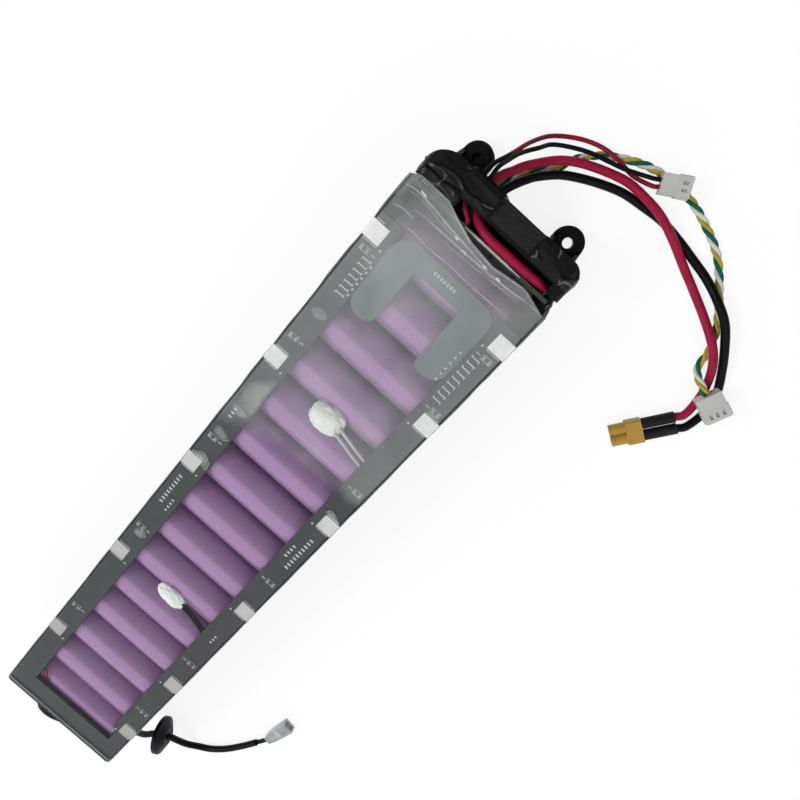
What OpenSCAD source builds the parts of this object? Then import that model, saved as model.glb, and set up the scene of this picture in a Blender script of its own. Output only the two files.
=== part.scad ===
// Rechargeable scooter battery: thirty round cells in two staggered rows of
// fifteen, held at both ends by honeycomb holders, joined in series by nickel
// links that fold over a frame-shaped circuit board, and sealed in a clear
// shrink sleeve with a moulded end cap, two fixing ears and free leads.
// X runs along the pack towards the leads, Y runs across it, Z points up.
// The origin is under the middle of the pack, on the surface it lies on.

/* [Cells] */
// Outside diameter of one wrapped cell
cell_d = 18.3; // [18.0:0.1:18.6]
// Length of one cell
cell_len = 65.2; // [64.8:0.1:66.0]
// Distance between neighbouring cells of one row
cell_pitch = 20.25; // [20.0:0.05:20.6]
// Height of the upper row above the lower row
row_rise = 16.8; // [16.6:0.1:17.6]
// Radial clearance of a cell in its holder
cell_clearance = 0.15; // [0.1:0.05:0.3]

/* [Cell holders] */
// Length of each cell that sits in a holder
holder_depth = 7.6; // [5:0.2:9]
// Wall of a holder over the end of a cell
holder_end_wall = 0.8; // [0.6:0.1:1.6]
// Wall of a holder beyond the first and last cells
holder_rim = 1.0; // [0.6:0.1:2]
// Wall of a holder under the lower row
holder_floor = 0.45; // [0.3:0.05:0.9]
// Wall of a holder over the upper row
holder_roof = 0.85; // [0.7:0.05:1.4]
// Diameter of the welding window over each cell end
weld_window_d = 12; // [10:0.5:14]

/* [Nickel links] */
// Thickness of the nickel sheet
link_t = 0.2; // [0.1:0.05:0.3]
// Margin of nickel around the cell axes
link_margin = 6.8; // [6:0.2:7.4]
// Diameter of the pressed cup that meets a cell end
weld_cup_d = 9; // [7:0.5:10]
// Length of the slot across each pressed cup
weld_slot = 5; // [3:0.5:6]
// Width of the tab that folds over the board
tab_w = 7; // [5:0.5:9]
// How far the folded tab reaches in over the board
tab_reach = 7.4; // [5:0.2:8]

/* [Circuit boards] */
// Thickness of the frame board
board_t = 1.6; // [1.2:0.1:2]
// Width of the window in the frame board
window_w = 45; // [40:0.5:46]
// Width of the tail bar of the frame board
tail_bar_w = 11; // [8:0.5:12]
// How far the boards run past the axis of the last upper cell
board_past_cell = 3.8; // [2:0.2:8]
// Length of the arms of the head board
head_board_len = 34; // [28:1:38]
// Width of each arm of the head board
head_arm_w = 12; // [9:0.5:14]
// Width of the bar that joins the arms of the head board
head_bar_w = 8; // [6:0.5:10]
// Thickness of the head board
head_board_t = 1.0; // [0.8:0.1:1.2]
// Thickness of the upright protection board
protection_t = 1.6; // [1.2:0.1:2]
// Height of the upright protection board
protection_h = 13; // [10:0.5:14]

/* [Insulation and sleeve] */
// Thickness of the clear shrink film
film_wall = 0.4; // [0.3:0.05:0.6]
// Corner radius of the sleeve
film_corner = 2.5; // [2:0.25:2.5]
// Gap between the frame board and the film above it
film_top_gap = 0.5; // [0.5:0.05:1]
// Gap between the side sheets and the film
film_side_gap = 0.4; // [0.2:0.05:0.8]
// Width of the lip that the film folds in at the tail
film_lip = 6; // [3:0.5:9]
// How far the film laps over the end cap
film_lap = 0.6; // [0.4:0.1:2]
// Depth of the scoop in the mouth of the film
film_scoop = 5; // [2:0.5:6]
// Thickness of the insulating sheet under the pack
base_sheet_t = 0.4; // [0.3:0.05:0.8]
// Thickness of the insulating sheets at the sides
side_sheet_t = 0.6; // [0.3:0.05:0.8]
// Thickness of the foam plate at the tail
tail_plate_t = 1.1; // [0.8:0.1:2]

/* [End cap] */
// Length of the end cap along the pack
cap_len = 14; // [13:0.5:18]
// Wall thickness of the end cap
cap_wall = 2; // [1.6:0.1:2.4]
// Height of the end cap
cap_h = 35.6; // [34:0.2:37]
// Gap between each side of the end cap and the film
cap_side_gap = 1; // [0.6:0.1:2]
// Radius of the upper edges of the end cap
cap_edge = 4; // [2:0.5:5]
// Radius of the cap's outer corner beside the cable outlet
cap_corner_left = 10; // [6:0.5:11]
// Radius of the cap's other outer corner
cap_corner_right = 6; // [4:0.5:9]
// Width of the open slot in the roof of the cap
cap_slot = 4; // [3.6:0.2:5]
// Radius of a fixing ear
ear_r = 6.5; // [5.5:0.25:7.5]
// Distance from the face of the cap to the middle of an ear's hole
ear_out = 3.5; // [3:0.25:5]
// Thickness of a fixing ear
ear_t = 5; // [3:0.5:8]
// Distance between the two ear holes
ear_spacing = 47; // [44:0.5:50]
// Diameter of an ear hole
ear_hole_d = 4.2; // [3.2:0.1:5.2]
// Diameter of the raised collar round an ear hole
collar_d = 9.6; // [8:0.2:10.6]
// Height of the gusset behind each ear
gusset_h = 12; // [8:0.5:16]
// Thickness of the black tape round the cap
tape_t = 0.3; // [0.2:0.05:0.4]

/* [Leads] */
// Diameter of the two power leads
power_d = 3.4; // [3:0.1:3.6]
// Diameter of the shrink tubes at the power plug
power_tube_d = 4.6; // [4.2:0.1:5]
// Diameter of the two thin leads
thin_d = 1.7; // [1.4:0.1:1.9]
// Outside diameter of the twisted three-wire lead
twist_d = 3.2; // [2.8:0.1:3.4]
// Diameter of the sheathed tail lead
tail_d = 3.4; // [3:0.1:3.6]
// Diameter of the wires inside the tail lead
tail_wire_d = 1.2; // [1:0.1:1.4]
// Diameter of the temperature probe wires
probe_wire_d = 1.0; // [0.8:0.1:1.2]
// Diameter of the rubber grommet on the tail lead
tail_grommet_d = 19.2; // [16:0.4:19.2]

/* [Hidden] */
$fn = 48;
SMALL_FN = 24;
COLUMNS = 15;
EPS = 0.01;
PAST = 1;

// Across the pack
half_cell = cell_len / 2;
holder_y = half_cell + holder_end_wall;
link_y = holder_y + link_t;
side_y = link_y + side_sheet_t;
film_in_y = side_y + film_side_gap;
film_y = film_in_y + film_wall;
board_y = holder_y - 0.4;
cap_y = film_in_y - cap_side_gap;

// Up the pack
bore_r = cell_d / 2 + cell_clearance;
holder_z0 = film_wall + base_sheet_t;
low_z = holder_z0 + holder_floor + bore_r;
high_z = low_z + row_rise;
mid_z = (low_z + high_z) / 2;
holder_z1 = high_z + bore_r + holder_roof;
board_z1 = holder_z1 + board_t;
film_in_z = board_z1 + film_top_gap;
film_z = film_in_z + film_wall;
cap_z0 = holder_z0;
cap_z1 = cap_z0 + cap_h;

// Along the pack
end_reach = bore_r + holder_rim;
rows_len = (COLUMNS - 0.5) * cell_pitch;
cap_reach = cap_len + ear_out + ear_r;
total_len = film_wall + tail_plate_t + 2 * end_reach + rows_len + cap_reach;
tail_x = -total_len / 2;
plate_x = tail_x + film_wall;
holder_x0 = plate_x + tail_plate_t;
first_x = holder_x0 + end_reach;
last_high_x = first_x + (COLUMNS - 1) * cell_pitch;
board_x1 = last_high_x + board_past_cell;
cap_x0 = first_x + rows_len + end_reach;
cap_x1 = cap_x0 + cap_len;
ear_x = cap_x1 + ear_out;
mouth_x = cap_x0 + film_lap;

function high_x(i) = first_x + i * cell_pitch;
function low_x(i) = high_x(i) + cell_pitch / 2;

// Tabs: column that each one stands at, and its shift from the cell axis
LEFT_TABS = [2, 5, 8, 11, 14];
RIGHT_TABS = [1, 3, 6, 9, 12, 14];
TAB_SHIFT = -3.1;
FIRST_TAB_SHIFT = -6.2;
LINK_STEP_GAP = 1.2;

// Sense parts on the rails: distance of each one from its tab
LEFT_SENSE = [18, 18, 15.5, 11, -7];
RIGHT_SENSE = [17, 17, 20.5, 20, 6, -7];
SENSE_SIZE = [3.2, 1.6, 0.4];
SENSE_IN = 4.4;

// Temperature probes: middle and radius of each bead, then its wires
BEAD_1 = [55.4, -0.4];
BEAD_2 = [-62.6, -1];
BEAD_R = [5.8, 4.2];
BEAD_STRETCH = [2.6, 3];
BEAD_TOP_GAP = 0.3;
BEAD_FOOT = 2.5;
WIRE_GAP = 1.4;
WIRE_DRIFT = [-4.4, -0.4];
WIRE_OFF_BEAD = 0.27;
WIRE_OFF_HOLDER = 0.7;

// Protection board and the parts on it
PROTECTION_X = -1.5;
PROTECTION_SIDE = 2.6;
MOSFETS = 5;
MOSFET_SIZE = [3.6, 9, 9.4];
MOSFET_PITCH = 10.6;

HOLDER_STEP_LOW = 13.2;
HOLDER_STEP_HIGH = 24;
function step_z(x) = HOLDER_STEP_LOW + (cap_x0 - x) * (HOLDER_STEP_HIGH - HOLDER_STEP_LOW)
    / (cap_x0 - last_high_x - end_reach);
protection_x1 = cap_x0 + PROTECTION_X;
protection_x0 = protection_x1 - protection_t;
protection_z0 = step_z(protection_x0);
protection_z1 = protection_z0 + protection_h + 4;
protection_y = holder_y - PROTECTION_SIDE;

// Cable outlet of the end cap: its sides, reach and roof
NOSE_Y = [4, 19.4];
NOSE_OUT = 0.6;
NOSE_H = 31;
NOSE_WALL = 1.8;
BOOT_OUT = 0.4;
BOOT_FOOT = 8;
EAR_ROOT = 3;
nose_x = cap_x1 + NOSE_OUT;
boot_x = nose_x + BOOT_OUT;
lead_x = boot_x + EPS;
RECESS_Y = [-15, 4];
RECESS_DROP = 14;
recess_x = cap_x0 + cap_slot + 1.6;
slot_y0 = cap_wall + 4 - cap_y;
slot_y1 = NOSE_Y[1] - 4.4;

// Plugs on the free leads: middle of the rear face and heading in degrees
POWER_PLUG = [130.8, -98.5, 147.9];
SIGNAL_PLUG = [199.6, -33, -59.7];
DATA_PLUG = [157.5, -103.6, -107.7];
TAIL_PLUG = [-128.8, -91.9, -8.4];
TAIL_GROMMET = [-169.7, -48.3, -53.4];
POWER_PIN_GAP = 5;
THIN_PIN_GAP = 2.5;
SIGNAL_BED = 3.1;
DATA_BED = 3.5;
WHITE_H = 5.8;
POWER_TUBE_LEN = 13;
GROMMET_T = 7;

function behind(place, back, side, z) = [place[0] - back * cos(place[2]) - side * sin(place[2]),
    place[1] - back * sin(place[2]) + side * cos(place[2]), z];

// Routes of the free leads, laid on the surface that the pack lies on
RED_ROUTE = [[lead_x, 12, 20], [162.4, 12, 20], [165.6, 10.8, 19], [168.6, 9.2, 16.6], [171.4, 8, 14.4],
    [174.9, 5.8, 12], [181.5, 0.5, 7.8], [186, -5.5, 5.4],
    [190, -14, 3.2], [193, -24, 2.9], [193, -33, 4.9], [192, -42, 5.4], [188.8, -52, 5.2],
    [185.3, -62, 2], [181, -73, 1.8], [177, -82, 2.8], [172.2, -90.5, 5], [167.2, -96.8, 4.4],
    [160.5, -102.2, 1.8], [153, -104.8, 1.8], behind(POWER_PLUG, POWER_TUBE_LEN + 3.8, -POWER_PIN_GAP / 2, 2.5),
    behind(POWER_PLUG, POWER_TUBE_LEN + EPS, -POWER_PIN_GAP / 2, 2.5)];
BLACK_ROUTE = [[lead_x, 7.2, 15], [162.2, 7.2, 15], [165.7, 5.8, 14], [169, 4.2, 11.8], [172.7, 1.9, 9.4],
    [178.5, -3.6, 6.8], [182.5, -9.5, 4.2],
    [186.5, -17.5, 2.2], [189.5, -26, 1.8], [190.8, -35, 1.8], [191.6, -44, 1.8], [190.8, -53, 1.8],
    [189.4, -62, 1.8], [187.6, -71, 2.8], [184.6, -79, 5.2], [180.6, -87.5, 5.3], [174.6, -94.8, 4.4],
    [167.5, -102.3, 2], [160, -107.8, 1.75], [151.5, -110.2, 1.75],
    behind(POWER_PLUG, POWER_TUBE_LEN + 3.8, POWER_PIN_GAP / 2, 2.5),
    behind(POWER_PLUG, POWER_TUBE_LEN + EPS, POWER_PIN_GAP / 2, 2.5)];
THIN_RED_ROUTE = [[lead_x, 15.8, 24.5], [162.6, 15.8, 24.5], [166.4, 15.4, 23.2], [170.1, 14.2, 20],
    [174.2, 13.2, 15.8], [179.5, 11.9, 10.7],
    [185.5, 9, 5], [190, 4.2, 2.2], [193.6, -2.4, 2.6], [195.6, -9.6, 4.4], [196.1, -17, 3.9],
    [196, -24, 1.4], behind(SIGNAL_PLUG, 3, -THIN_PIN_GAP / 2, 6),
    behind(SIGNAL_PLUG, EPS, -THIN_PIN_GAP / 2, 6)];
THIN_BLACK_ROUTE = [[lead_x, 13.2, 26.3], [162.4, 13.2, 26.3], [165.8, 13.5, 24.9], [169.1, 12.9, 21.8],
    [173.3, 11.9, 17.6], [176.6, 10.4, 14], [180.1, 8.2, 11.2],
    [184.5, 5.6, 6.6], [188.6, -0.6, 4.8], [191.6, -7.4, 4.8], [193.6, -14.5, 4.8], [195.4, -20.5, 4.8],
    [197.6, -26, 5.4], behind(SIGNAL_PLUG, 2.6, THIN_PIN_GAP / 2, 6),
    behind(SIGNAL_PLUG, EPS, THIN_PIN_GAP / 2, 6)];
TWIST_ROUTE = [[lead_x, 9.8, 10.9], [162.4, 9.8, 10.9], [167.6, 7.8, 9.2], [174, 4.4, 6.2], [180, -1.2, 3.4],
    [187, -4.4, 1.6], [193, -9.6, 1.6], [198.3, -18, 1.6], [202, -27, 1.6], [203.6, -37, 1.6],
    [203, -47, 1.6], [200.4, -57, 1.6], [196.3, -67, 1.6], [190.2, -75.4, 1.6], [183.5, -82.6, 1.6],
    [176.6, -89, 1.6], [169.3, -93, 1.6], [163.6, -94.2, 1.7], [160.4, -96.6, 3.6],
    behind(DATA_PLUG, 3, 0, 6.4), behind(DATA_PLUG, EPS, 0, 6.4)];
TAIL_ROUTE = [[plate_x, 17, 24], [-174, 17, 24], [-185.6, 16.4, 24], [-196.5, 13, 22],
    [-204.6, 6, 17.2], [-208.2, -3.6, 11.6], [-208, -14, 6.6], [-204.2, -24, 3.2], [-197, -32, 2.8],
    [-186.6, -37.2, 6], [-179, -41, 9.2], [-172, -45.2, 9.6], [-167.4, -51.4, 9.6], [-168.4, -57, 7.2],
    [-169.4, -62.8, 4.4], [-168, -68.6, 2.2], [-163.6, -74.6, 1.8], [-156.4, -80.2, 1.8],
    [-147.4, -85, 1.8], [-137.2, -89.4, 1.8]];
TAIL_WIRE_ROUTE = [[-137.2, -89.4, 1.8], [-133.71, -90.91, 1.8], behind(TAIL_PLUG, 2, 0, 2.2),
    behind(TAIL_PLUG, EPS, 0, 2.2)];

// Routes of the leads that the pack holds all the way
inner_z = cap_z1 - 2.3;
thin_z = min(cap_z1 - 4.2, protection_z1 - 1.4);
INNER_RED_ROUTE = [[protection_x1 + EPS, -27, inner_z - 5.4], [145.2, -27, inner_z - 5.4],
    [146.4, -26, inner_z - 3.6], [146.6, -23, inner_z - 1.6], [146.4, -18.6, inner_z - 0.4],
    [146.3, -13, inner_z], [146.3, -7, inner_z], [146.3, -1.4, inner_z - 0.2], [146.9, 3, inner_z - 1.4],
    [148.3, 7, inner_z - 4], [150.6, 10, inner_z - 8], [153.2, 11.6, inner_z - 12], [155.4, 12, 20],
    [cap_x1 - cap_wall - EPS, 12, 20]];
INNER_THIN_ROUTE = [[protection_x1 + EPS, 8.6, thin_z], [145.4, 8.6, thin_z], [146.6, 9.8, thin_z],
    [147.8, 12, thin_z - 0.4], [150, 14.2, thin_z - 2], [152.6, 15.4, thin_z - 5], [155, 15.8, 24.5],
    [cap_x1 - cap_wall - EPS, 15.8, 24.5]];
corner_wire_y = half_cell - holder_depth - 0.6;
CORNER_WIRE_ROUTE = [[-151, corner_wire_y, 37.1], [-153.4, corner_wire_y - 3, 37.1],
    [-156.8, corner_wire_y - 5.4, 37.1], [-160.4, 17.2, 36.95],
    [-163.6, 16.8, 35.7], [-166.1, 16.9, 33], [holder_x0 + 0.45, 17.2, 28.5],
    [holder_x0 + 0.45, 17.4, 24.2], [plate_x + EPS, 17.4, 24.2]];
CORNER_WIRE_GAP = [2.4, 0.9];

// Shared shapes

// Extrudes a profile drawn in X and Z from y0 to y1
module across(y0, y1) {
    translate([0, y1, 0])
        rotate([90, 0, 0])
            linear_extrude(y1 - y0)
                children();
}

// Extrudes a profile drawn in Y and Z from x0 to x1
module along(x0, x1) {
    translate([x0, 0, 0])
        rotate([90, 0, 90])
            linear_extrude(x1 - x0)
                children();
}

// A block given by its two opposite corners
module block(a, b) {
    translate(a)
        cube(b - a);
}

// A rectangle with round corners, given by two opposite corners
module round_rect(a, b, r) {
    translate([a[0] + r, a[1]])
        square([b[0] - a[0] - 2 * r, b[1] - a[1]]);
    translate([a[0], a[1] + r])
        square([b[0] - a[0], b[1] - a[1] - 2 * r]);
    for (x = [a[0] + r, b[0] - r], y = [a[1] + r, b[1] - r])
        translate([x, y])
            circle(r);
}

function unit(v) = v / norm(v);
function around(points, i) = unit(points[min(i + 1, len(points) - 1)] - points[max(i - 1, 0)]);

// A round lead swept along a route, with one ring of corners at each point
module lead(route, d, sides = 8) {
    count = len(route);
    corners = [
        for (i = [0:count - 1])
            let (t = around(route, i), s = unit(cross(t, [0, 0, 1])), u = cross(s, t))
                for (k = [0:sides - 1])
                    let (a = 360 * (k + 0.5) / sides)
                        route[i] + d / 2 * (cos(a) * s + sin(a) * u)
    ];
    walls = [
        for (i = [0:count - 2], k = [0:sides - 1])
            let (a = i * sides + k, b = i * sides + (k + 1) % sides)
                each [[a, a + sides, b], [b, a + sides, b + sides]]
    ];
    start = [for (k = [1:sides - 2]) [0, k, k + 1]];
    last = (count - 1) * sides;
    end = [for (k = [1:sides - 2]) [last, last + k + 1, last + k]];
    polyhedron(corners, concat(start, walls, end));
}

// Puts a piece with its rear face at a plug's place, heading along its X
module at_plug(place, z) {
    translate([place[0], place[1], z])
        rotate([0, 0, place[2]])
            children();
}

// Cells

// One wrapped cell: button end with its ring groove at the +Y end
module cell() {
    r = cell_d / 2;
    profile = [[0, -half_cell], [r - 0.5, -half_cell], [r, -half_cell + 0.5], [r, half_cell - 4.6],
        [r - 0.5, half_cell - 4.2], [r - 0.5, half_cell - 3.6], [r, half_cell - 3.2],
        [r, half_cell - 0.4], [r - 0.4, half_cell], [7, half_cell], [7, half_cell - 0.9],
        [4.4, half_cell - 0.9], [4, half_cell], [0, half_cell]];
    rotate([-90, 0, 0])
        rotate_extrude()
            polygon(profile);
}

module cell_at(x, z, side) {
    translate([x, 0, z])
        rotate([0, 0, side > 0 ? 0 : 180])
            cell();
}

// Three cells in parallel: a triangle standing on one cell or on two
module bank(k) {
    base = 3 * floor(k / 2);
    even = k % 2 == 0;
    side = even ? 1 : -1;
    high = even ? [base, base + 1] : [base + 2];
    low = even ? [base] : [base + 1, base + 2];
    color("#a87fb2") {
        for (i = high)
            cell_at(high_x(i), high_z, side);
        for (i = low)
            cell_at(low_x(i), low_z, side);
    }
}

module all_axes() {
    for (i = [0:COLUMNS - 1]) {
        translate([high_x(i), high_z])
            children();
        translate([low_x(i), low_z])
            children();
    }
}

// Holders

// Side view of a holder: the rows are half a pitch apart, so the ends step
module holder_outline() {
    low_x0 = low_x(0) - end_reach;
    high_x1 = last_high_x + end_reach;
    polygon([[low_x0, holder_z0], [cap_x0, holder_z0], [cap_x0, HOLDER_STEP_LOW],
        [high_x1, HOLDER_STEP_HIGH], [high_x1, holder_z1], [holder_x0, holder_z1],
        [holder_x0, HOLDER_STEP_HIGH], [low_x0, HOLDER_STEP_LOW]]);
}

module holder() {
    color("#232529")
        difference() {
            across(half_cell - holder_depth, holder_y)
                holder_outline();
            across(half_cell - holder_depth - PAST, half_cell)
                all_axes()
                    circle(bore_r);
            across(half_cell - PAST, holder_y + PAST)
                all_axes()
                    circle(d = weld_window_d);
        }
}

// Nickel links

function link_high(side, n) = side > 0 ? [3 * n, 3 * n + 2] : [max(3 * n - 1, 0), min(3 * n + 1, COLUMNS - 1)];
function link_low(side, n) = side > 0 ? [3 * n, 3 * n + 2] : [max(3 * n - 2, 0), min(3 * n, COLUMNS - 1)];
function tab_x(side, n) = side > 0 ? high_x(LEFT_TABS[n]) + TAB_SHIFT
    : high_x(RIGHT_TABS[n]) + (n == 0 ? FIRST_TAB_SHIFT : TAB_SHIFT);

// Flat outline of one link over its upper and lower cells
module link_outline(high, low) {
    join = LINK_STEP_GAP / 2;
    x0 = max(high_x(high[0]), low_x(low[0])) - link_margin;
    x1 = min(high_x(high[1]), low_x(low[1])) + link_margin;
    translate([high_x(high[0]) - link_margin, mid_z + join])
        square([high_x(high[1]) - high_x(high[0]) + 2 * link_margin, high_z - mid_z + link_margin - join]);
    translate([low_x(low[0]) - link_margin, low_z - link_margin])
        square([low_x(low[1]) - low_x(low[0]) + 2 * link_margin, mid_z - low_z + link_margin - join]);
    translate([x0, mid_z - 2 * join])
        square([x1 - x0, 4 * join]);
}

// The cells of one link, at their places in the side view
module link_axes(high, low) {
    for (i = [high[0]:high[1]])
        translate([high_x(i), high_z])
            children();
    for (i = [low[0]:low[1]])
        translate([low_x(i), low_z])
            children();
}

// One link on the +Y side: sheet, pressed cups and the tab over the board
module link_body(side, n) {
    high = link_high(side, n);
    low = link_low(side, n);
    x = tab_x(side, n);
    color("#c9c9c6")
        difference() {
            union() {
                across(holder_y, link_y)
                    link_outline(high, low);
                across(half_cell, holder_y + EPS)
                    link_axes(high, low)
                        circle(d = weld_cup_d);
                block([x - tab_w / 2, holder_y, high_z], [x + tab_w / 2, link_y, board_z1 + link_t]);
                block([x - tab_w / 2, link_y - tab_reach, board_z1], [x + tab_w / 2, link_y, board_z1 + link_t]);
            }
            across(half_cell - PAST, link_y + PAST)
                link_axes(high, low)
                    square([0.9, weld_slot], center = true);
        }
}

module link_left(n) {
    link_body(1, n);
}

module link_right(n) {
    mirror([0, 1, 0])
        link_body(-1, n);
}

// Circuit boards

WINDOW_CORNER_STEP = [9, 3];

module frame_board() {
    w = window_w / 2;
    color("#3a3d40")
        difference() {
            block([holder_x0, -board_y, holder_z1], [board_x1, board_y, board_z1]);
            block([holder_x0 + tail_bar_w, -w, holder_z1 - PAST], [board_x1 + PAST, w, board_z1 + PAST]);
            block([holder_x0 + tail_bar_w, -w - WINDOW_CORNER_STEP[1], holder_z1 - PAST],
                [holder_x0 + tail_bar_w + WINDOW_CORNER_STEP[0], -w + PAST, board_z1 + PAST]);
        }
}

// U-shaped board soldered between the rails at the head
module head_board() {
    w = window_w / 2;
    x0 = board_x1 - head_board_len;
    corner = 6;
    inner = w - head_arm_w;
    color("#6c7276")
        translate([0, 0, board_z1 - head_board_t])
            linear_extrude(head_board_t)
                difference() {
                    union() {
                        round_rect([x0, -w], [board_x1, w], corner);
                        translate([x0 + corner, -w])
                            square([head_board_len - 2 * corner, 2 * w]);
                    }
                    translate([x0 - PAST, -inner])
                        square([head_board_len - head_bar_w + PAST, 2 * inner]);
                }
}

// Small fuses and resistors next to the tabs
module sense_part(x, y) {
    translate([x, y, board_z1 + SENSE_SIZE[2] / 2])
        cube(SENSE_SIZE, center = true);
}

module sense_parts() {
    color("#d8d8d2") {
        for (n = [0:len(LEFT_TABS) - 1])
            sense_part(tab_x(1, n) + LEFT_SENSE[n], holder_y - SENSE_IN);
        for (n = [0:len(RIGHT_TABS) - 1])
            sense_part(tab_x(-1, n) + RIGHT_SENSE[n], -holder_y + SENSE_IN);
    }
}

// Upright board over the step in the holders

module protection_board() {
    color("#2d4a3a")
        block([protection_x0, -protection_y, protection_z0], [protection_x1, protection_y, protection_z1]);
}

module mosfets() {
    z0 = protection_z1 - MOSFET_SIZE[2] - 1.5;
    color("#1d1d1f")
        for (k = [0:MOSFETS - 1])
            translate([protection_x0 - MOSFET_SIZE[0], (k - (MOSFETS - 1) / 2) * MOSFET_PITCH - MOSFET_SIZE[1] / 2, z0])
                cube(MOSFET_SIZE);
}

// White strip of adhesive foam along the top edge of the protection board
module board_strip() {
    color("#dcdcd8")
        block([protection_x0, -18, protection_z1], [protection_x1, 8, protection_z1 + 1.2]);
}

// Insulation

module base_sheet() {
    y = film_in_y - film_corner + film_wall;
    color("#8b9a7a")
        block([low_x(0) - end_reach, -y, film_wall], [cap_x0, y, holder_z0]);
}

module side_sheet() {
    inset = 0.6;
    color("#33363a")
        across(link_y, side_y)
            intersection() {
                holder_outline();
                translate([holder_x0, holder_z0 + inset])
                    square([cap_x0 - holder_x0, holder_z1 - holder_z0 - 4 * inset]);
            }
}

module tail_plate() {
    color("#2a2b2e")
        difference() {
            block([plate_x, -board_y, holder_z0], [holder_x0, board_y, holder_z1]);
            translate([plate_x - PAST, TAIL_ROUTE[0][1], TAIL_ROUTE[0][2]])
                rotate([0, 90, 0])
                    cylinder(d = tail_d - 0.4, h = tail_plate_t + 2 * PAST, $fn = SMALL_FN);
        }
}

// Temperature probes

// A bead of silicone that has set in the dip between upper cells
module probe_bead(place, r, stretch) {
    top = film_in_z - BEAD_TOP_GAP;
    color("#e9e9e6")
        difference() {
            intersection() {
                for (y = [place[1] - stretch, place[1] + stretch])
                    translate([place[0], y, top - r])
                        sphere(r);
                block([place[0] - 2 * r, place[1] - 3 * r, top - r - BEAD_FOOT],
                    [place[0] + 2 * r, place[1] + 3 * r, top + PAST]);
            }
            across(place[1] - 3 * r, place[1] + 3 * r)
                for (i = [0:COLUMNS - 1])
                    translate([high_x(i), high_z])
                        circle(d = cell_d);
        }
}

// A pair of probe wires from a bead over a cell to the inside of the right holder
module probe_wires(place, r, stretch, drift) {
    x0 = place[0];
    x1 = x0 + drift;
    y0 = place[1] - stretch - r * cos(30) - WIRE_OFF_BEAD;
    z = film_in_z - BEAD_TOP_GAP - r / 2;
    end_y = holder_depth - half_cell + WIRE_OFF_HOLDER;
    turn_y = end_y + 3.8;
    under = holder_z1 - probe_wire_d / 2;
    for (s = [-0.5, 0.5])
        color("#d9d9d9")
            lead([[x0 + s * WIRE_GAP, y0, z], [x0 + s * WIRE_GAP, y0 - 2, z],
                [x0 / 3 + x1 * 2 / 3 + s * WIRE_GAP, (y0 + turn_y) / 2 - 1, z / 2 + under / 2],
                [x1 + s * WIRE_GAP, turn_y, under], [x1 + s * WIRE_GAP, end_y, under]], probe_wire_d);
}

// Two fine wires that leave the window at its corner and go down the tail
module corner_wires() {
    last = len(CORNER_WIRE_ROUTE) - 1;
    for (k = [0, 1])
        color(k == 0 ? "#5a1f28" : "#18181a")
            lead([for (i = [0:last]) CORNER_WIRE_ROUTE[i] - [0, k * (CORNER_WIRE_GAP[0]
                + (CORNER_WIRE_GAP[1] - CORNER_WIRE_GAP[0]) * i / last), 0]], 0.7);
}

// End cap

// What is cut away outside a round corner at the point x, y of a plan
module corner_cut(x, y, r, side) {
    translate([x - r, side * (y - r)])
        difference() {
            translate([0, side > 0 ? 0 : -r - PAST])
                square(r + PAST);
            circle(r);
        }
}

// Plan of the cap: square at the pack, round at the two outer corners
module cap_plan(inset) {
    y = cap_y - inset;
    x = cap_x1 - inset;
    difference() {
        translate([cap_x0, -y])
            square([x - cap_x0, 2 * y]);
        corner_cut(x, y, cap_corner_left - inset, 1);
        corner_cut(x, y, cap_corner_right - inset, -1);
    }
}

// Cross-section of the cap with round upper corners
module cap_section(y, z0, z1, r) {
    translate([-y, z0])
        square([2 * y, z1 - z0 - r]);
    translate([-y + r, z0])
        square([2 * (y - r), z1 - z0]);
    for (s = [-1, 1])
        translate([s * (y - r), z1 - r])
            circle(r);
}

// The cap's solid form, or the hollow inside it when inset by the wall
module cap_form(inset) {
    intersection() {
        translate([0, 0, cap_z0 + inset])
            linear_extrude(cap_h - 2 * inset)
                cap_plan(inset);
        along(cap_x0, cap_x1)
            cap_section(cap_y - inset, cap_z0 + inset, cap_z1 - inset, cap_edge - inset);
    }
}

// The slope between the shoulders, as a wedge to cut away
module recess_wedge(inset) {
    x1 = cap_x1 + PAST;
    drop = RECESS_DROP * (x1 - recess_x) / (cap_x1 - recess_x);
    across(RECESS_Y[0] - inset, RECESS_Y[1] + inset)
        polygon([[recess_x - inset, cap_z1 - inset], [x1, cap_z1 - drop - inset * 1.6],
            [x1, cap_z1 + PAST], [recess_x - inset, cap_z1 + PAST]]);
}

// One fixing ear with its collar and the gussets behind it
module ear(side) {
    y = side * ear_spacing / 2;
    rib = 1.6;
    collar_h = 1;
    translate([ear_x, y, cap_z0])
        cylinder(r = ear_r, h = ear_t);
    block([cap_x1 - EAR_ROOT, y - ear_r, cap_z0], [ear_x, y + ear_r, cap_z0 + ear_t]);
    translate([ear_x, y, cap_z0])
        cylinder(d = collar_d, h = ear_t + collar_h);
    for (s = side > 0 ? [1] : [-1, 1])
        across(y + s * (ear_r - rib / 2) - rib / 2, y + s * (ear_r - rib / 2) + rib / 2)
            polygon([[cap_x1 - EAR_ROOT, cap_z0], [ear_x, cap_z0], [ear_x, cap_z0 + ear_t],
                [cap_x1 - EPS, cap_z0 + gusset_h], [cap_x1 - EAR_ROOT, cap_z0 + gusset_h]]);
}

module ear_hole(side) {
    translate([ear_x, side * ear_spacing / 2, cap_z0 - PAST])
        cylinder(d = ear_hole_d, h = ear_t + gusset_h);
}

// Square outlet that the leads leave through
module nose() {
    round_r = 3;
    along(cap_x1 - EPS, nose_x)
        difference() {
            union() {
                translate([NOSE_Y[0], cap_z0])
                    square([NOSE_Y[1] - NOSE_Y[0], NOSE_H - round_r]);
                round_rect([NOSE_Y[0], cap_z0], [NOSE_Y[1], cap_z0 + NOSE_H], round_r);
            }
        }
}

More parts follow.
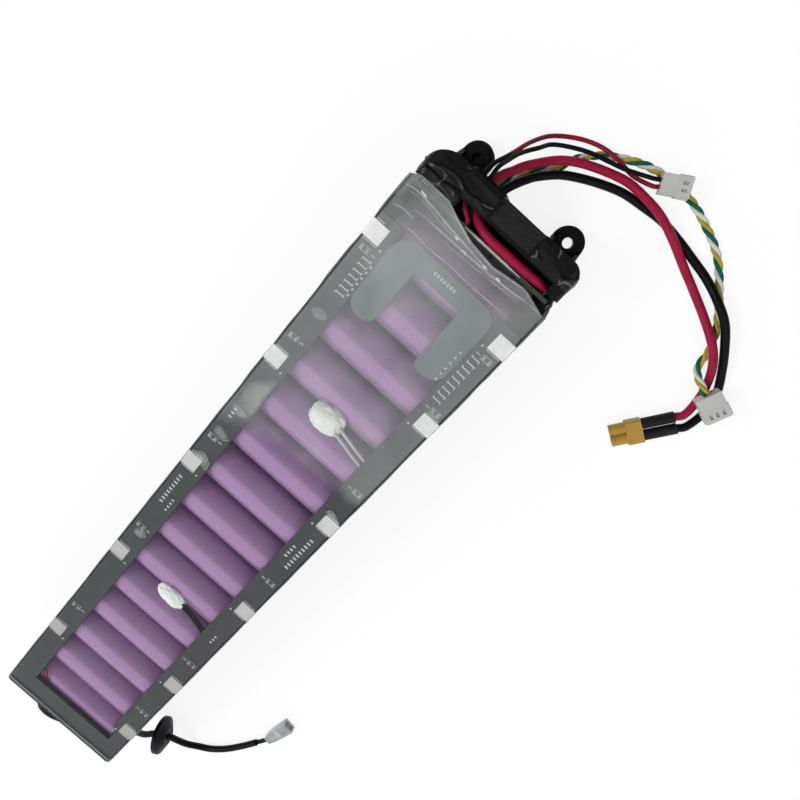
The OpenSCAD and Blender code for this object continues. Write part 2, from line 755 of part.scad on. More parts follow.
module nose_opening() {
    along(cap_x1 - cap_wall - PAST, nose_x + PAST)
        round_rect([NOSE_Y[0] + NOSE_WALL, cap_z0 + BOOT_FOOT], [NOSE_Y[1] - NOSE_WALL, cap_z0 + NOSE_H - NOSE_WALL], 2);
}

module end_cap() {
    color("#17181a")
        difference() {
            union() {
                difference() {
                    cap_form(0);
                    difference() {
                        translate([-EPS, 0, 0])
                            cap_form(cap_wall);
                        recess_wedge(cap_wall);
                    }
                    recess_wedge(0);
                    block([cap_x0 - PAST, slot_y0, cap_z1 - cap_wall - PAST],
                        [cap_x0 + cap_slot, slot_y1, cap_z1 + PAST]);
                }
                ear(-1);
                ear(1);
                nose();
            }
            ear_hole(-1);
            ear_hole(1);
            nose_opening();
        }
}

// Rubber boot in the outlet, with a rim outside the wall
module cable_boot() {
    fit = 0.05;
    rim = 0.9;
    color("#101011") {
        along(cap_x1 - cap_wall, nose_x)
            round_rect([NOSE_Y[0] + NOSE_WALL + fit, cap_z0 + BOOT_FOOT + fit],
                [NOSE_Y[1] - NOSE_WALL - fit, cap_z0 + NOSE_H - NOSE_WALL - fit], 2);
        along(nose_x, boot_x)
            round_rect([NOSE_Y[0] + rim, cap_z0 + BOOT_FOOT - rim],
                [NOSE_Y[1] - rim, cap_z0 + NOSE_H - rim], 2);
    }
}

// Two turns of black tape, one over each shoulder of the cap
module cap_tape() {
    x0 = cap_x0 + cap_slot + 0.6;
    x1 = cap_x1 - cap_wall - 0.5;
    edge = 0.5;
    y = cap_y + PAST;
    color("#0e0e10")
        difference() {
            intersection() {
                cap_form(-tape_t);
                block([mouth_x + 0.2, -y, cap_z0 - PAST], [x1, y, cap_z1 + PAST]);
            }
            cap_form(0);
            block([cap_x0, -y - PAST, cap_z0 - PAST], [x0, slot_y1 + edge, cap_z1 + PAST]);
            block([x0 - PAST, RECESS_Y[0] - edge, cap_z0 - PAST], [x1 + PAST, RECESS_Y[1] + edge, cap_z1 + PAST]);
        }
}

// Film sleeve

module film_section(inset) {
    round_rect([-film_y + inset, inset], [film_y - inset, film_z - inset], film_corner - inset);
}

module film_sleeve() {
    scoop_r = 8;
    color("#b9bdc0", 0.35)
        difference() {
            along(tail_x, mouth_x)
                film_section(0);
            along(plate_x, mouth_x + PAST)
                film_section(film_wall);
            along(tail_x - PAST, plate_x + PAST)
                round_rect([-film_in_y + film_lip, film_lip], [film_in_y - film_lip, film_in_z - film_lip],
                    film_corner);
            translate([0, 0, film_in_z - PAST])
                linear_extrude(film_wall + 2 * PAST)
                    union() {
                        round_rect([mouth_x - film_scoop, slot_y0 - 3.4], [mouth_x + scoop_r, slot_y1 - 4],
                            film_scoop - 1);
                    }
        }
}

// Power plug: a rear block, then two joined barrels with sockets
PLUG_BLOCK = [6.4, 10.2, 5];
PLUG_BARREL_D = 4.8;
PLUG_BARREL_LEN = 6.4;
SOCKET_D = 2.4;
SOCKET_DEEP = 5;

module power_plug() {
    z = PLUG_BLOCK[2] / 2;
    color("#c9a43c")
        at_plug(POWER_PLUG, 0)
            difference() {
                union() {
                    along(0, PLUG_BLOCK[0])
                        round_rect([-PLUG_BLOCK[1] / 2, 0], [PLUG_BLOCK[1] / 2, PLUG_BLOCK[2]], 1);
                    for (s = [-0.5, 0.5])
                        translate([PLUG_BLOCK[0] - EPS, s * (POWER_PIN_GAP - 0.4), z])
                            rotate([0, 90, 0])
                                cylinder(d = PLUG_BARREL_D, h = PLUG_BARREL_LEN);
                }
                for (s = [-0.5, 0.5])
                    translate([PLUG_BLOCK[0] + PLUG_BARREL_LEN - SOCKET_DEEP, s * (POWER_PIN_GAP - 0.4), z])
                        rotate([0, 90, 0])
                            cylinder(d = SOCKET_D + 0.6, h = SOCKET_DEEP + PAST, $fn = SMALL_FN);
            }
}

// Gold sockets inside the barrels
module power_pins() {
    z = PLUG_BLOCK[2] / 2;
    color("#c8963c")
        at_plug(POWER_PLUG, 0)
            for (s = [-0.5, 0.5])
                translate([PLUG_BLOCK[0] + PLUG_BARREL_LEN - SOCKET_DEEP, s * (POWER_PIN_GAP - 0.4), z])
                    rotate([0, 90, 0])
                        difference() {
                            cylinder(d = SOCKET_D + 0.5, h = SOCKET_DEEP - 0.4, $fn = SMALL_FN);
                            translate([0, 0, 1])
                                cylinder(d = SOCKET_D - 0.5, h = SOCKET_DEEP, $fn = SMALL_FN);
                        }
}

// Shrink tubes over the joints between the power leads and the plug
module power_tubes() {
    color("#141416")
        at_plug(POWER_PLUG, PLUG_BLOCK[2] / 2)
            for (s = [-0.5, 0.5])
                translate([-POWER_TUBE_LEN, s * POWER_PIN_GAP, 0])
                    rotate([0, 90, 0])
                        cylinder(d = power_tube_d, h = POWER_TUBE_LEN, $fn = SMALL_FN);
}

// White crimp housing: contact windows on top and a latch rib at each side
module white_plug(ways) {
    length = 10.6;
    w = (ways - 1) * THIN_PIN_GAP + 4.9;
    difference() {
        union() {
            block([0, -w / 2, 0], [length, w / 2, WHITE_H]);
            for (s = [-1, 1])
                block([length - 5, s * w / 2 - 0.5, 1.2], [length, s * w / 2 + 0.5, WHITE_H - 1.6]);
        }
        for (k = [0:ways - 1])
            translate([0, (k - (ways - 1) / 2) * THIN_PIN_GAP, 0]) {
                block([length - 3.4, -0.55, WHITE_H - 1], [length - 1.4, 0.55, WHITE_H + PAST]);
                block([length - 4, -0.6, WHITE_H / 2 - 0.6], [length + PAST, 0.6, WHITE_H / 2 + 0.6]);
            }
    }
}

module signal_plug() {
    color("#dedede")
        at_plug(SIGNAL_PLUG, SIGNAL_BED)
            white_plug(2);
}

module data_plug() {
    color("#dedede")
        at_plug(DATA_PLUG, DATA_BED)
            white_plug(3);
}

// Rubber grommet that stands on its edge round the tail lead
module tail_grommet() {
    r = tail_grommet_d / 2;
    bore = tail_d / 2 + 0.1;
    t = GROMMET_T / 2;
    color("#0f1013")
        translate([TAIL_GROMMET[0], TAIL_GROMMET[1], r])
            rotate([0, 90, TAIL_GROMMET[2]])
                rotate_extrude()
                    polygon([[bore, -t], [r * 0.5, -t], [r, -t + 2], [r, t - 3], [r * 0.5, t], [bore, t]]);
}

module tail_wires() {
    for (s = [-1, 1])
        color("#2b2b2d")
            lead([for (i = [0:len(TAIL_WIRE_ROUTE) - 1]) let (t = around(TAIL_WIRE_ROUTE, i))
                TAIL_WIRE_ROUTE[i] + 0.7 * s * unit([-t[1], t[0], 0])], tail_wire_d);
}

// Clear two-way plug: flat body that widens towards its open end
module tail_plug() {
    length = 17;
    h = 4.4;
    color("#c7ccce", 0.7)
        at_plug(TAIL_PLUG, 0)
            difference() {
                linear_extrude(h)
                    polygon([[0, -2], [5, -2.9], [length, -3.4], [length, 3.4], [5, 2.9], [0, 2]]);
                block([length - 7, -2.4, 1], [length + PAST, 2.4, h - 1]);
            }
}

// Drawing, one node to a line
for (k = [0:9])
    bank(k);
holder();  // holder_left
mirror([0, 1, 0]) holder();  // holder_right
for (n = [0:4])
    link_left(n);
for (n = [0:5])
    link_right(n);
frame_board();
head_board();
sense_parts();
base_sheet();
side_sheet();  // side_sheet_left
mirror([0, 1, 0]) side_sheet();  // side_sheet_right
tail_plate();
probe_bead(BEAD_1, BEAD_R[0], BEAD_STRETCH[0]);  // probe_bead_1
probe_bead(BEAD_2, BEAD_R[1], BEAD_STRETCH[1]);  // probe_bead_2
probe_wires(BEAD_1, BEAD_R[0], BEAD_STRETCH[0], WIRE_DRIFT[0]);  // probe_wires_1
probe_wires(BEAD_2, BEAD_R[1], BEAD_STRETCH[1], WIRE_DRIFT[1]);  // probe_wires_2
corner_wires();
protection_board();
mosfets();
board_strip();
color("#a52a45") lead(INNER_RED_ROUTE, power_d);  // inner_lead_red
color("#a52a45") lead(INNER_THIN_ROUTE, thin_d);  // inner_lead_thin
end_cap();
cable_boot();
cap_tape();
film_sleeve();
color("#a52a45") lead(RED_ROUTE, power_d);  // power_lead_red
color("#18181a") lead(BLACK_ROUTE, power_d);  // power_lead_black
power_tubes();
power_plug();
power_pins();
color("#8f2238") lead(THIN_RED_ROUTE, thin_d);  // signal_lead_red
color("#18181a") lead(THIN_BLACK_ROUTE, thin_d);  // signal_lead_black
signal_plug();
color("#1c6b5c") lead(TWIST_ROUTE, twist_d);  // data_lead
data_plug();
color("#1b1b1d") lead(TAIL_ROUTE, tail_d);  // tail_lead
tail_grommet();
tail_wires();
tail_plug();
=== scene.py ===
import math
import bmesh
import bpy
from mathutils import Matrix, Vector, noise


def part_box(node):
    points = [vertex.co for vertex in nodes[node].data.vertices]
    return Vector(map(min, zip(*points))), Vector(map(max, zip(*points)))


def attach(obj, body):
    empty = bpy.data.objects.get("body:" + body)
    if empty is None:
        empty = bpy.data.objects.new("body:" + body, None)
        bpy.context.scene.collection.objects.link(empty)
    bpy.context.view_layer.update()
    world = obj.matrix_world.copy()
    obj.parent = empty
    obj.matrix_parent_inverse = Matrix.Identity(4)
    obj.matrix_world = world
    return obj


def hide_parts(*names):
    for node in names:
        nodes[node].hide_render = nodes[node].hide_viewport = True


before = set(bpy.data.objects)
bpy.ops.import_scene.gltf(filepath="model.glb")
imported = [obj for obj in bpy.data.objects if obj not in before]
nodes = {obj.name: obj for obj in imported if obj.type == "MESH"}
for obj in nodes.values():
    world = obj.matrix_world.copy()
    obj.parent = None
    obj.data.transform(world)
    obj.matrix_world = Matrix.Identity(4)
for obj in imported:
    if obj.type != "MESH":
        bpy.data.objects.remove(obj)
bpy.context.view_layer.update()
MM = 0.001

# Sizes shared with the CAD, in millimetres
CELL_PITCH = 20.25
FIRST_X = -158.0625
CELL_R, TOP_ROW_Z = 9.15, 27.35
TAIL_X = -169.8625
CAP_X1 = 159.8625
FILM_Y, FILM_Z = 35.0, 40.0
FILM_END = 146.3
BOARD_Z = 39.1
BOOT_X = 160.8625
LEAD_X = BOOT_X + 0.01
POWER_D, THIN_D, TWIST_D, TAIL_D = 3.4, 1.7, 3.2, 3.4

# Plugs: middle of the rear face and heading in degrees, as in the CAD
POWER_PLUG = (130.8, -98.5, 147.9)
SIGNAL_PLUG = (199.6, -33.0, -59.7)
DATA_PLUG = (157.5, -103.6, -107.7)


def behind(place, back, side, z):
    """A point behind a plug's rear face, to one side of its middle."""
    a = math.radians(place[2])
    return (place[0] - back * math.cos(a) - side * math.sin(a),
            place[1] - back * math.sin(a) + side * math.cos(a), z)


# The free leads, point for point as in the CAD
RED = [(LEAD_X, 12, 20), (162.4, 12, 20), (165.6, 10.8, 19), (168.6, 9.2, 16.6), (171.4, 8, 14.4),
       (174.9, 5.8, 12), (181.5, 0.5, 7.8), (186, -5.5, 5.4), (190, -14, 3.2), (193, -24, 2.9),
       (193, -33, 4.9), (192, -42, 5.4), (188.8, -52, 5.2), (185.3, -62, 2), (181, -73, 1.8),
       (177, -82, 2.8), (172.2, -90.5, 5), (167.2, -96.8, 4.4), (160.5, -102.2, 1.8),
       (153, -104.8, 1.8), behind(POWER_PLUG, 16.8, -2.5, 2.5),
       behind(POWER_PLUG, 13.01, -2.5, 2.5)]
BLACK = [(LEAD_X, 7.2, 15), (162.2, 7.2, 15), (165.7, 5.8, 14), (169, 4.2, 11.8), (172.7, 1.9, 9.4),
         (178.5, -3.6, 6.8), (182.5, -9.5, 4.2), (186.5, -17.5, 2.2), (189.5, -26, 1.8),
         (190.8, -35, 1.8), (191.6, -44, 1.8), (190.8, -53, 1.8), (189.4, -62, 1.8),
         (187.6, -71, 2.8), (184.6, -79, 5.2), (180.6, -87.5, 5.3), (174.6, -94.8, 4.4),
         (167.5, -102.3, 2), (160, -107.8, 1.75), (151.5, -110.2, 1.75),
         behind(POWER_PLUG, 16.8, 2.5, 2.5), behind(POWER_PLUG, 13.01, 2.5, 2.5)]
THIN_RED = [(LEAD_X, 15.8, 24.5), (162.6, 15.8, 24.5), (166.4, 15.4, 23.2), (170.1, 14.2, 20),
            (174.2, 13.2, 15.8), (179.5, 11.9, 10.7), (185.5, 9, 5), (190, 4.2, 2.2),
            (193.6, -2.4, 2.6), (195.6, -9.6, 4.4), (196.1, -17, 3.9), (196, -24, 1.4),
            behind(SIGNAL_PLUG, 3, -1.25, 6), behind(SIGNAL_PLUG, 0.01, -1.25, 6)]
THIN_BLACK = [(LEAD_X, 13.2, 26.3), (162.4, 13.2, 26.3), (165.8, 13.5, 24.9), (169.1, 12.9, 21.8),
              (173.3, 11.9, 17.6), (176.6, 10.4, 14), (180.1, 8.2, 11.2), (184.5, 5.6, 6.6),
              (188.6, -0.6, 4.8), (191.6, -7.4, 4.8), (193.6, -14.5, 4.8), (195.4, -20.5, 4.8),
              (197.6, -26, 5.4), behind(SIGNAL_PLUG, 2.6, 1.25, 6),
              behind(SIGNAL_PLUG, 0.01, 1.25, 6)]
TWIST = [(LEAD_X, 9.8, 10.9), (162.4, 9.8, 10.9), (167.6, 7.8, 9.2), (174, 4.4, 6.2),
         (180, -1.2, 3.4), (187, -4.4, 1.6), (193, -9.6, 1.6), (198.3, -18, 1.6), (202, -27, 1.6),
         (203.6, -37, 1.6), (203, -47, 1.6), (200.4, -57, 1.6), (196.3, -67, 1.6),
         (190.2, -75.4, 1.6), (183.5, -82.6, 1.6), (176.6, -89, 1.6), (169.3, -93, 1.6),
         (163.6, -94.2, 1.7), (160.4, -96.6, 3.6), behind(DATA_PLUG, 3, 0, 6.4),
         behind(DATA_PLUG, 0.01, 0, 6.4)]
TAIL = [(-169.4625, 17, 24), (-174, 17, 24), (-185.6, 16.4, 24), (-196.5, 13, 22),
        (-204.6, 6, 17.2), (-208.2, -3.6, 11.6), (-208, -14, 6.6), (-204.2, -24, 3.2),
        (-197, -32, 2.8), (-186.6, -37.2, 6), (-179, -41, 9.2), (-172, -45.2, 9.6),
        (-167.4, -51.4, 9.6), (-168.4, -57, 7.2), (-169.4, -62.8, 4.4), (-168, -68.6, 2.2),
        (-163.6, -74.6, 1.8), (-156.4, -80.2, 1.8), (-147.4, -85, 1.8), (-137.2, -89.4, 1.8)]


def smooth(points, steps=6, lowest=None):
    """Catmull-Rom curve through the points, never below the given height."""
    p = [Vector(q) for q in points]
    p = [p[0] * 2 - p[1]] + p + [p[-1] * 2 - p[-2]]
    out = []
    for i in range(1, len(p) - 2):
        a, b, c, d = p[i - 1:i + 3]
        for k in range(steps):
            t = k / steps
            out.append(0.5 * (2 * b + (c - a) * t + (2 * a - 5 * b + 4 * c - d) * t * t
                              + (3 * b - a - 3 * c + d) * t * t * t))
    out.append(p[-2])
    if lowest is not None:
        for q in out:
            q.z = max(q.z, lowest)
    return out


# Camera at the photograph's viewing angle, fitted to the corners of the pack
CAMERA_PLACE = Vector((156.21, -8.14, 250.75))
CAMERA_RIGHT = Vector((0.64401, -0.73944, -0.19619))
CAMERA_UP = Vector((0.69059, 0.67225, -0.26678))
CAMERA_VIEW = Vector((-0.32915, -0.03632, -0.94358))
SENSOR_WIDTH, LENS = 36, 27.0


def make_camera():
    data = bpy.data.cameras.new("camera")
    data.sensor_width = SENSOR_WIDTH
    data.lens = LENS
    data.clip_start = 0.01
    cam = bpy.data.objects.new("camera", data)
    m = Matrix((CAMERA_RIGHT, CAMERA_UP, -CAMERA_VIEW)).transposed().to_4x4()
    m.translation = CAMERA_PLACE * MM
    cam.matrix_world = m
    bpy.context.scene.collection.objects.link(cam)
    bpy.context.scene.camera = cam


make_camera()


# Material helpers
def srgb(r, g, b):
    return tuple(((c / 255 + 0.055) / 1.055) ** 2.4 if c > 10 else c / 3294.6
                 for c in (r, g, b)) + (1.0,)


class Mat:
    """A node material with one Principled shader and short calls for what feeds it."""

    def __init__(self, name, color, rough=0.5, metal=0.0, spec=0.5, coat=0.0):
        self.m = bpy.data.materials.new(name)
        self.m.use_nodes = True
        self.t = self.m.node_tree
        self.b = self.t.nodes["Principled BSDF"]
        self.b.inputs["Base Color"].default_value = color
        self.b.inputs["Roughness"].default_value = rough
        self.b.inputs["Metallic"].default_value = metal
        self.b.inputs["Specular IOR Level"].default_value = spec
        self.b.inputs["Coat Weight"].default_value = coat
        self.color = color
        self.m.diffuse_color = color
        self.coords = self.new("ShaderNodeTexCoord").outputs["Object"]

    def new(self, kind, **values):
        n = self.t.nodes.new(kind)
        for k, v in values.items():
            setattr(n, k, v)
        return n

    def link(self, a, b):
        self.t.links.new(a, b)

    def scaled(self, scale):
        n = self.new("ShaderNodeMapping")
        n.inputs["Scale"].default_value = scale
        self.link(self.coords, n.inputs["Vector"])
        return n.outputs["Vector"]

    def noise(self, scale, detail=3.0, rough=0.5, stretch=(1, 1, 1), distortion=0.0):
        n = self.new("ShaderNodeTexNoise")
        n.inputs["Scale"].default_value = scale
        n.inputs["Detail"].default_value = detail
        n.inputs["Roughness"].default_value = rough
        n.inputs["Distortion"].default_value = distortion
        self.link(self.scaled(stretch), n.inputs["Vector"])
        return n.outputs["Fac"]

    def cracks(self, scale, stretch=(1, 1, 1)):
        n = self.new("ShaderNodeTexVoronoi", feature="DISTANCE_TO_EDGE")
        n.inputs["Scale"].default_value = scale
        self.link(self.scaled(stretch), n.inputs["Vector"])
        return n.outputs["Distance"]

    def ramp(self, fac, stops):
        n = self.new("ShaderNodeValToRGB")
        e = n.color_ramp.elements
        while len(e) < len(stops):
            e.new(0.5)
        for el, (pos, c) in zip(e, stops):
            el.position = pos
            el.color = c if len(c) == 4 else tuple(c) + (1.0,)
        self.link(fac, n.inputs["Fac"])
        return n.outputs["Color"]

    def grey(self, fac, stops):
        return self.ramp(fac, [(p, (v, v, v, 1.0)) for p, v in stops])

    def feed(self, n, *values):
        """Sets or links the inputs of a node in their order."""
        for i, v in enumerate(values):
            if isinstance(v, bpy.types.NodeSocket):
                self.link(v, n.inputs[i])
            else:
                n.inputs[i].default_value = v
        return n.outputs[0]

    def math(self, op, *values, clamp=False):
        return self.feed(self.new("ShaderNodeMath", operation=op, use_clamp=clamp), *values)

    def mix(self, blend, fac, a, b):
        return self.feed(self.new("ShaderNodeMixRGB", blend_type=blend), fac, a, b)

    def surface(self, shader):
        """Makes this shader the material's surface."""
        out = next(n for n in self.t.nodes if n.type == "OUTPUT_MATERIAL")
        self.link(shader, out.inputs["Surface"])

    def axis(self, name):
        n = self.new("ShaderNodeSeparateXYZ")
        self.link(self.coords, n.inputs[0])
        return n.outputs[name]

    def tint(self, fac, low=0.8, high=1.12):
        """Varies the base colour with a factor."""
        c = self.color
        lo = tuple(min(1.0, v * low) for v in c[:3]) + (1.0,)
        hi = tuple(min(1.0, v * high) for v in c[:3]) + (1.0,)
        self.link(self.ramp(fac, [(0.3, lo), (0.7, hi)]), self.b.inputs["Base Color"])
        return self

    def roughness(self, fac, low, high):
        self.link(self.grey(fac, [(0.3, low), (0.7, high)]), self.b.inputs["Roughness"])
        return self

    def bump(self, height, strength=0.3, distance=0.0003):
        n = self.new("ShaderNodeBump")
        n.inputs["Strength"].default_value = strength
        n.inputs["Distance"].default_value = distance
        self.link(height, n.inputs["Height"])
        old = self.b.inputs["Normal"]
        if old.is_linked:
            self.link(old.links[0].from_socket, n.inputs["Normal"])
        self.link(n.outputs["Normal"], old)
        return self


def dress(material, *names):
    for n in names:
        o = nodes[n]
        o.data.materials.clear()
        o.data.materials.append(material.m)


# Materials
# Where the wrap of a cell ends, in metres from its middle, and how metallic wrap and steel look
WRAP_END = 0.03245
WRAP_METAL, STEEL_METAL = 0.42, 0.92


def wrap_material():
    m = Mat("cell_wrap", srgb(167, 132, 177), rough=0.28, metal=WRAP_METAL, spec=0.4)
    m.tint(m.noise(60, 2, 0.5, (1, 0.15, 1)), 0.96, 1.03)
    m.roughness(m.noise(60, 1), 0.27, 0.3)
    m.bump(m.noise(120, 1, 0.5, (1, 0.1, 1)), 0.01, 0.0001)
    return m


def steel_end(m):
    """Bare steel beyond the wrap at both ends of a cell."""
    end = m.math("GREATER_THAN", m.math("ABSOLUTE", m.axis("Y")), WRAP_END)
    metal = m.math("ADD", m.math("MULTIPLY", end, STEEL_METAL - WRAP_METAL), WRAP_METAL)
    m.link(metal, m.b.inputs["Metallic"])
    return m


cells = steel_end(wrap_material())
holder = Mat("holder_black", srgb(30, 32, 36), rough=0.6, spec=0.3)
holder.tint(holder.noise(250), 0.8, 1.2).bump(holder.noise(2200, 3), 0.25, 0.0001)


def nickel_material():
    """Rolled nickel with fine grain and a slightly uneven face; painted light makes it greyer
    towards the tail.
    """
    m = Mat("nickel", srgb(248, 248, 246), rough=0.42, metal=0.12, spec=0.5)
    # Painted light: whiter towards the head and greyer towards the tail, as the light falls off
    painted_light = m.grey(m.math("ADD", m.math("MULTIPLY", m.axis("X"), 3.0), 0.5),
                 [(0.05, 0.44), (0.5, 0.66), (0.82, 1.0)])
    grain = m.grey(m.noise(420, 4), [(0.25, 0.86), (0.75, 1.0)])
    grain_and_painted_light = m.mix("MULTIPLY", 1.0, painted_light, grain)
    m.link(m.mix("MULTIPLY", 1.0, grain_and_painted_light, m.color), m.b.inputs["Base Color"])
    m.roughness(m.noise(500), 0.34, 0.5)
    m.bump(m.noise(520, 2, 0.5), 0.35, 0.0003)
    return m


nickel = nickel_material()
board = Mat("board_grey", srgb(56, 60, 62), rough=0.5, spec=0.3)
board.tint(board.noise(90, 5, 0.6), 0.84, 1.14).roughness(board.noise(700), 0.42, 0.56)
board.bump(board.cracks(900, (1, 1, 0.2)), 0.1, 0.0001)
board_light = Mat("board_light", srgb(98, 107, 111), rough=0.5, spec=0.3)
board_light.tint(board_light.noise(80, 5, 0.6), 0.9, 1.08)
board_light.roughness(board_light.noise(600), 0.42, 0.56)
board_light.bump(board_light.noise(1500, 2), 0.1, 0.0001)
part_pale = Mat("parts_pale", srgb(74, 72, 68), rough=0.5)
part_pale.tint(part_pale.noise(900), 0.8, 1.15).bump(part_pale.noise(2500), 0.2, 0.0001)
sheet_grey = Mat("sheet_grey", srgb(120, 128, 116), rough=0.7)
sheet_grey.tint(sheet_grey.noise(500, 5), 0.9, 1.08).bump(sheet_grey.noise(1800), 0.3, 0.0001)
sheet_dark = Mat("sheet_dark", srgb(42, 46, 48), rough=0.62, spec=0.3)
sheet_dark.tint(sheet_dark.noise(120, 5), 0.8, 1.2).bump(sheet_dark.noise(900, 4), 0.4, 0.0002)
silicone = Mat("silicone_white", srgb(240, 242, 234), rough=0.36, spec=0.4, coat=0.1)
silicone.b.inputs["Subsurface Weight"].default_value = 0.1
silicone.tint(silicone.noise(260, 3), 0.93, 1.02).bump(silicone.noise(420, 3), 0.6, 0.0006)
board_green = Mat("board_green", srgb(34, 52, 42), rough=0.42, coat=0.1)
board_green.tint(board_green.noise(200, 5), 0.8, 1.2).bump(board_green.noise(1200), 0.2, 0.0001)
package = Mat("package_black", srgb(24, 24, 26), rough=0.5, spec=0.3)
package.tint(package.noise(400), 0.8, 1.25).bump(package.noise(2600), 0.25, 0.0001)


def insulation(name, color, rough=0.36):
    m = Mat(name, color, rough=rough, spec=0.13)
    m.tint(m.noise(140, 3), 0.86, 1.1).roughness(m.noise(500, 3), rough - 0.06, rough + 0.12)
    m.bump(m.noise(700, 3), 0.16, 0.0002)
    return m


WIRE_BLACK = srgb(5, 5, 10)


def thin_red_material():
    """Thin red insulation that is black up to X = 172 mm, where tape is round it."""
    m = insulation("wire_thin_red", srgb(136, 30, 50))
    bare = m.grey(m.math("MULTIPLY", m.axis("X"), 5.0), [(0.858, 0.0), (0.864, 1.0)])
    tone = m.ramp(m.noise(140, 3), [(0.3, srgb(120, 20, 38)), (0.7, srgb(136, 25, 45))])
    m.link(m.mix("MIX", bare, WIRE_BLACK, tone), m.b.inputs["Base Color"])
    return m


red = insulation("wire_red", srgb(156, 25, 60))
thin_red = thin_red_material()
black = insulation("wire_black", WIRE_BLACK)
pale = insulation("wire_pale", srgb(196, 196, 197), 0.4)
green = insulation("wire_green", srgb(20, 92, 78))
yellow = insulation("wire_yellow", srgb(178, 160, 58))
white = insulation("wire_white", srgb(212, 212, 206))
dark_red = insulation("wire_dark_red", srgb(112, 26, 40))

cap = Mat("cap_black", srgb(7, 7, 9), rough=0.42, spec=0.14)
cap.tint(cap.noise(160, 4), 0.8, 1.3).roughness(cap.noise(320, 3), 0.36, 0.5)
cap.bump(cap.noise(1500, 3), 0.2, 0.0001)
rubber = Mat("rubber_black", srgb(12, 13, 22), rough=0.46, spec=0.2)
rubber.tint(rubber.noise(300, 4), 0.8, 1.3).bump(rubber.noise(1300, 3), 0.3, 0.0001)


def tape_material():
    """Glossy black tape with long pale lines painted along its creases as highlights."""
    m = Mat("tape_black", srgb(6, 6, 9), rough=0.3, spec=0.22)
    wave = m.noise(62, 1, 0.4, (1.5, 0.8, 1.0), 0.6)
    line = m.grey(m.math("ABSOLUTE", m.math("SUBTRACT", wave, 0.5)), [(0.004, 1.0), (0.02, 0.0)])
    broken = m.grey(m.noise(110, 1), [(0.4, 0.0), (0.52, 1.0)])
    fac = m.math("MULTIPLY", line, broken)
    # Painted highlight: the crease lines get a pale grey base colour
    m.link(m.ramp(fac, [(0.0, srgb(6, 6, 9)), (1.0, srgb(92, 93, 98))]), m.b.inputs["Base Color"])
    m.roughness(m.noise(260, 3), 0.2, 0.36)
    m.bump(line, 0.6, 0.0005)
    m.bump(m.noise(150, 2, 0.5, (1, 0.5, 1)), 0.35, 0.0008)
    return m


tape = tape_material()
tube = Mat("tube_black", srgb(15, 15, 17), rough=0.6, spec=0.25)
tube.tint(tube.noise(260, 4), 0.8, 1.3).bump(tube.noise(420, 4, 0.6), 0.6, 0.0005)
plug_yellow = Mat("plug_yellow", srgb(176, 138, 48), rough=0.38, spec=0.4)
plug_yellow.tint(plug_yellow.noise(300, 4), 0.86, 1.08).bump(plug_yellow.noise(1100), 0.15, 0.0001)
gold = Mat("contact_gold", srgb(196, 158, 86), rough=0.28, metal=0.95)
gold.tint(gold.noise(900), 0.85, 1.05).roughness(gold.noise(1200), 0.22, 0.38)
plug_white = Mat("plug_white", srgb(190, 190, 188), rough=0.4, spec=0.35)
plug_white.tint(plug_white.noise(260, 4), 0.93, 1.03).bump(plug_white.noise(1500), 0.12, 0.0001)
clear = Mat("plug_clear", srgb(176, 182, 186), rough=0.18, spec=0.6, coat=0.2)
clear.tint(clear.noise(330, 3), 0.7, 1.15).bump(clear.noise(500, 3), 0.3, 0.0003)
clear.b.inputs["Transmission Weight"].default_value = 0.35

dress(cells, *["bank_%02d" % k for k in range(1, 11)])
dress(holder, "holder_left", "holder_right")
dress(nickel, *["link_left_%d" % k for k in range(1, 6)],
      *["link_right_%d" % k for k in range(1, 7)])
dress(board, "frame_board")
dress(board_light, "head_board")
dress(part_pale, "sense_parts")
dress(sheet_grey, "base_sheet")
dress(sheet_dark, "side_sheet_left", "side_sheet_right", "tail_plate")
dress(silicone, "probe_bead_1", "probe_bead_2", "board_strip")
dress(pale, "probe_wires_1")
dress(dark_red, "corner_wires")
dress(black, "probe_wires_2", "tail_wires", "power_lead_black", "signal_lead_black", "tail_lead")
dress(board_green, "protection_board")
dress(package, "mosfets")
dress(red, "inner_lead_red", "inner_lead_thin", "power_lead_red")
dress(thin_red, "signal_lead_red")
dress(green, "data_lead")
dress(cap, "end_cap")
dress(rubber, "cable_boot", "tail_grommet")
dress(tape, "cap_tape")
dress(tube, "power_tubes")
dress(plug_yellow, "power_plug")
dress(gold, "power_pins")
dress(plug_white, "signal_plug", "data_plug")
dress(clear, "tail_plug")


# Making pieces
def put(name, data):
    o = bpy.data.objects.new(name, data)
    bpy.context.scene.collection.objects.link(o)
    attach(o, "root")
    return o


def mesh_piece(name, verts, faces, materials, shade=True, face_mats=None):
    me = bpy.data.meshes.new(name)
    me.from_pydata([tuple(c * MM for c in v) for v in verts], [], faces)
    for m in materials:
        me.materials.append(m.m)
    if face_mats:
        me.polygons.foreach_set("material_index", face_mats)
    if shade:
        me.polygons.foreach_set("use_smooth", [True] * len(me.polygons))
    me.update()
    return put(name, me)


def tube_curve(name, points, d, material):
    data = bpy.data.curves.new(name, "CURVE")
    data.dimensions = "3D"
    data.bevel_depth = d / 2 * MM
    data.bevel_resolution = 4
    data.use_fill_caps = True
    s = data.splines.new("POLY")
    s.points.add(len(points) - 1)
    for q, p in zip(s.points, points):
        q.co = (*(c * MM for c in p), 1)
    s.use_smooth = True
    data.materials.append(material.m)
    return put(name, data)


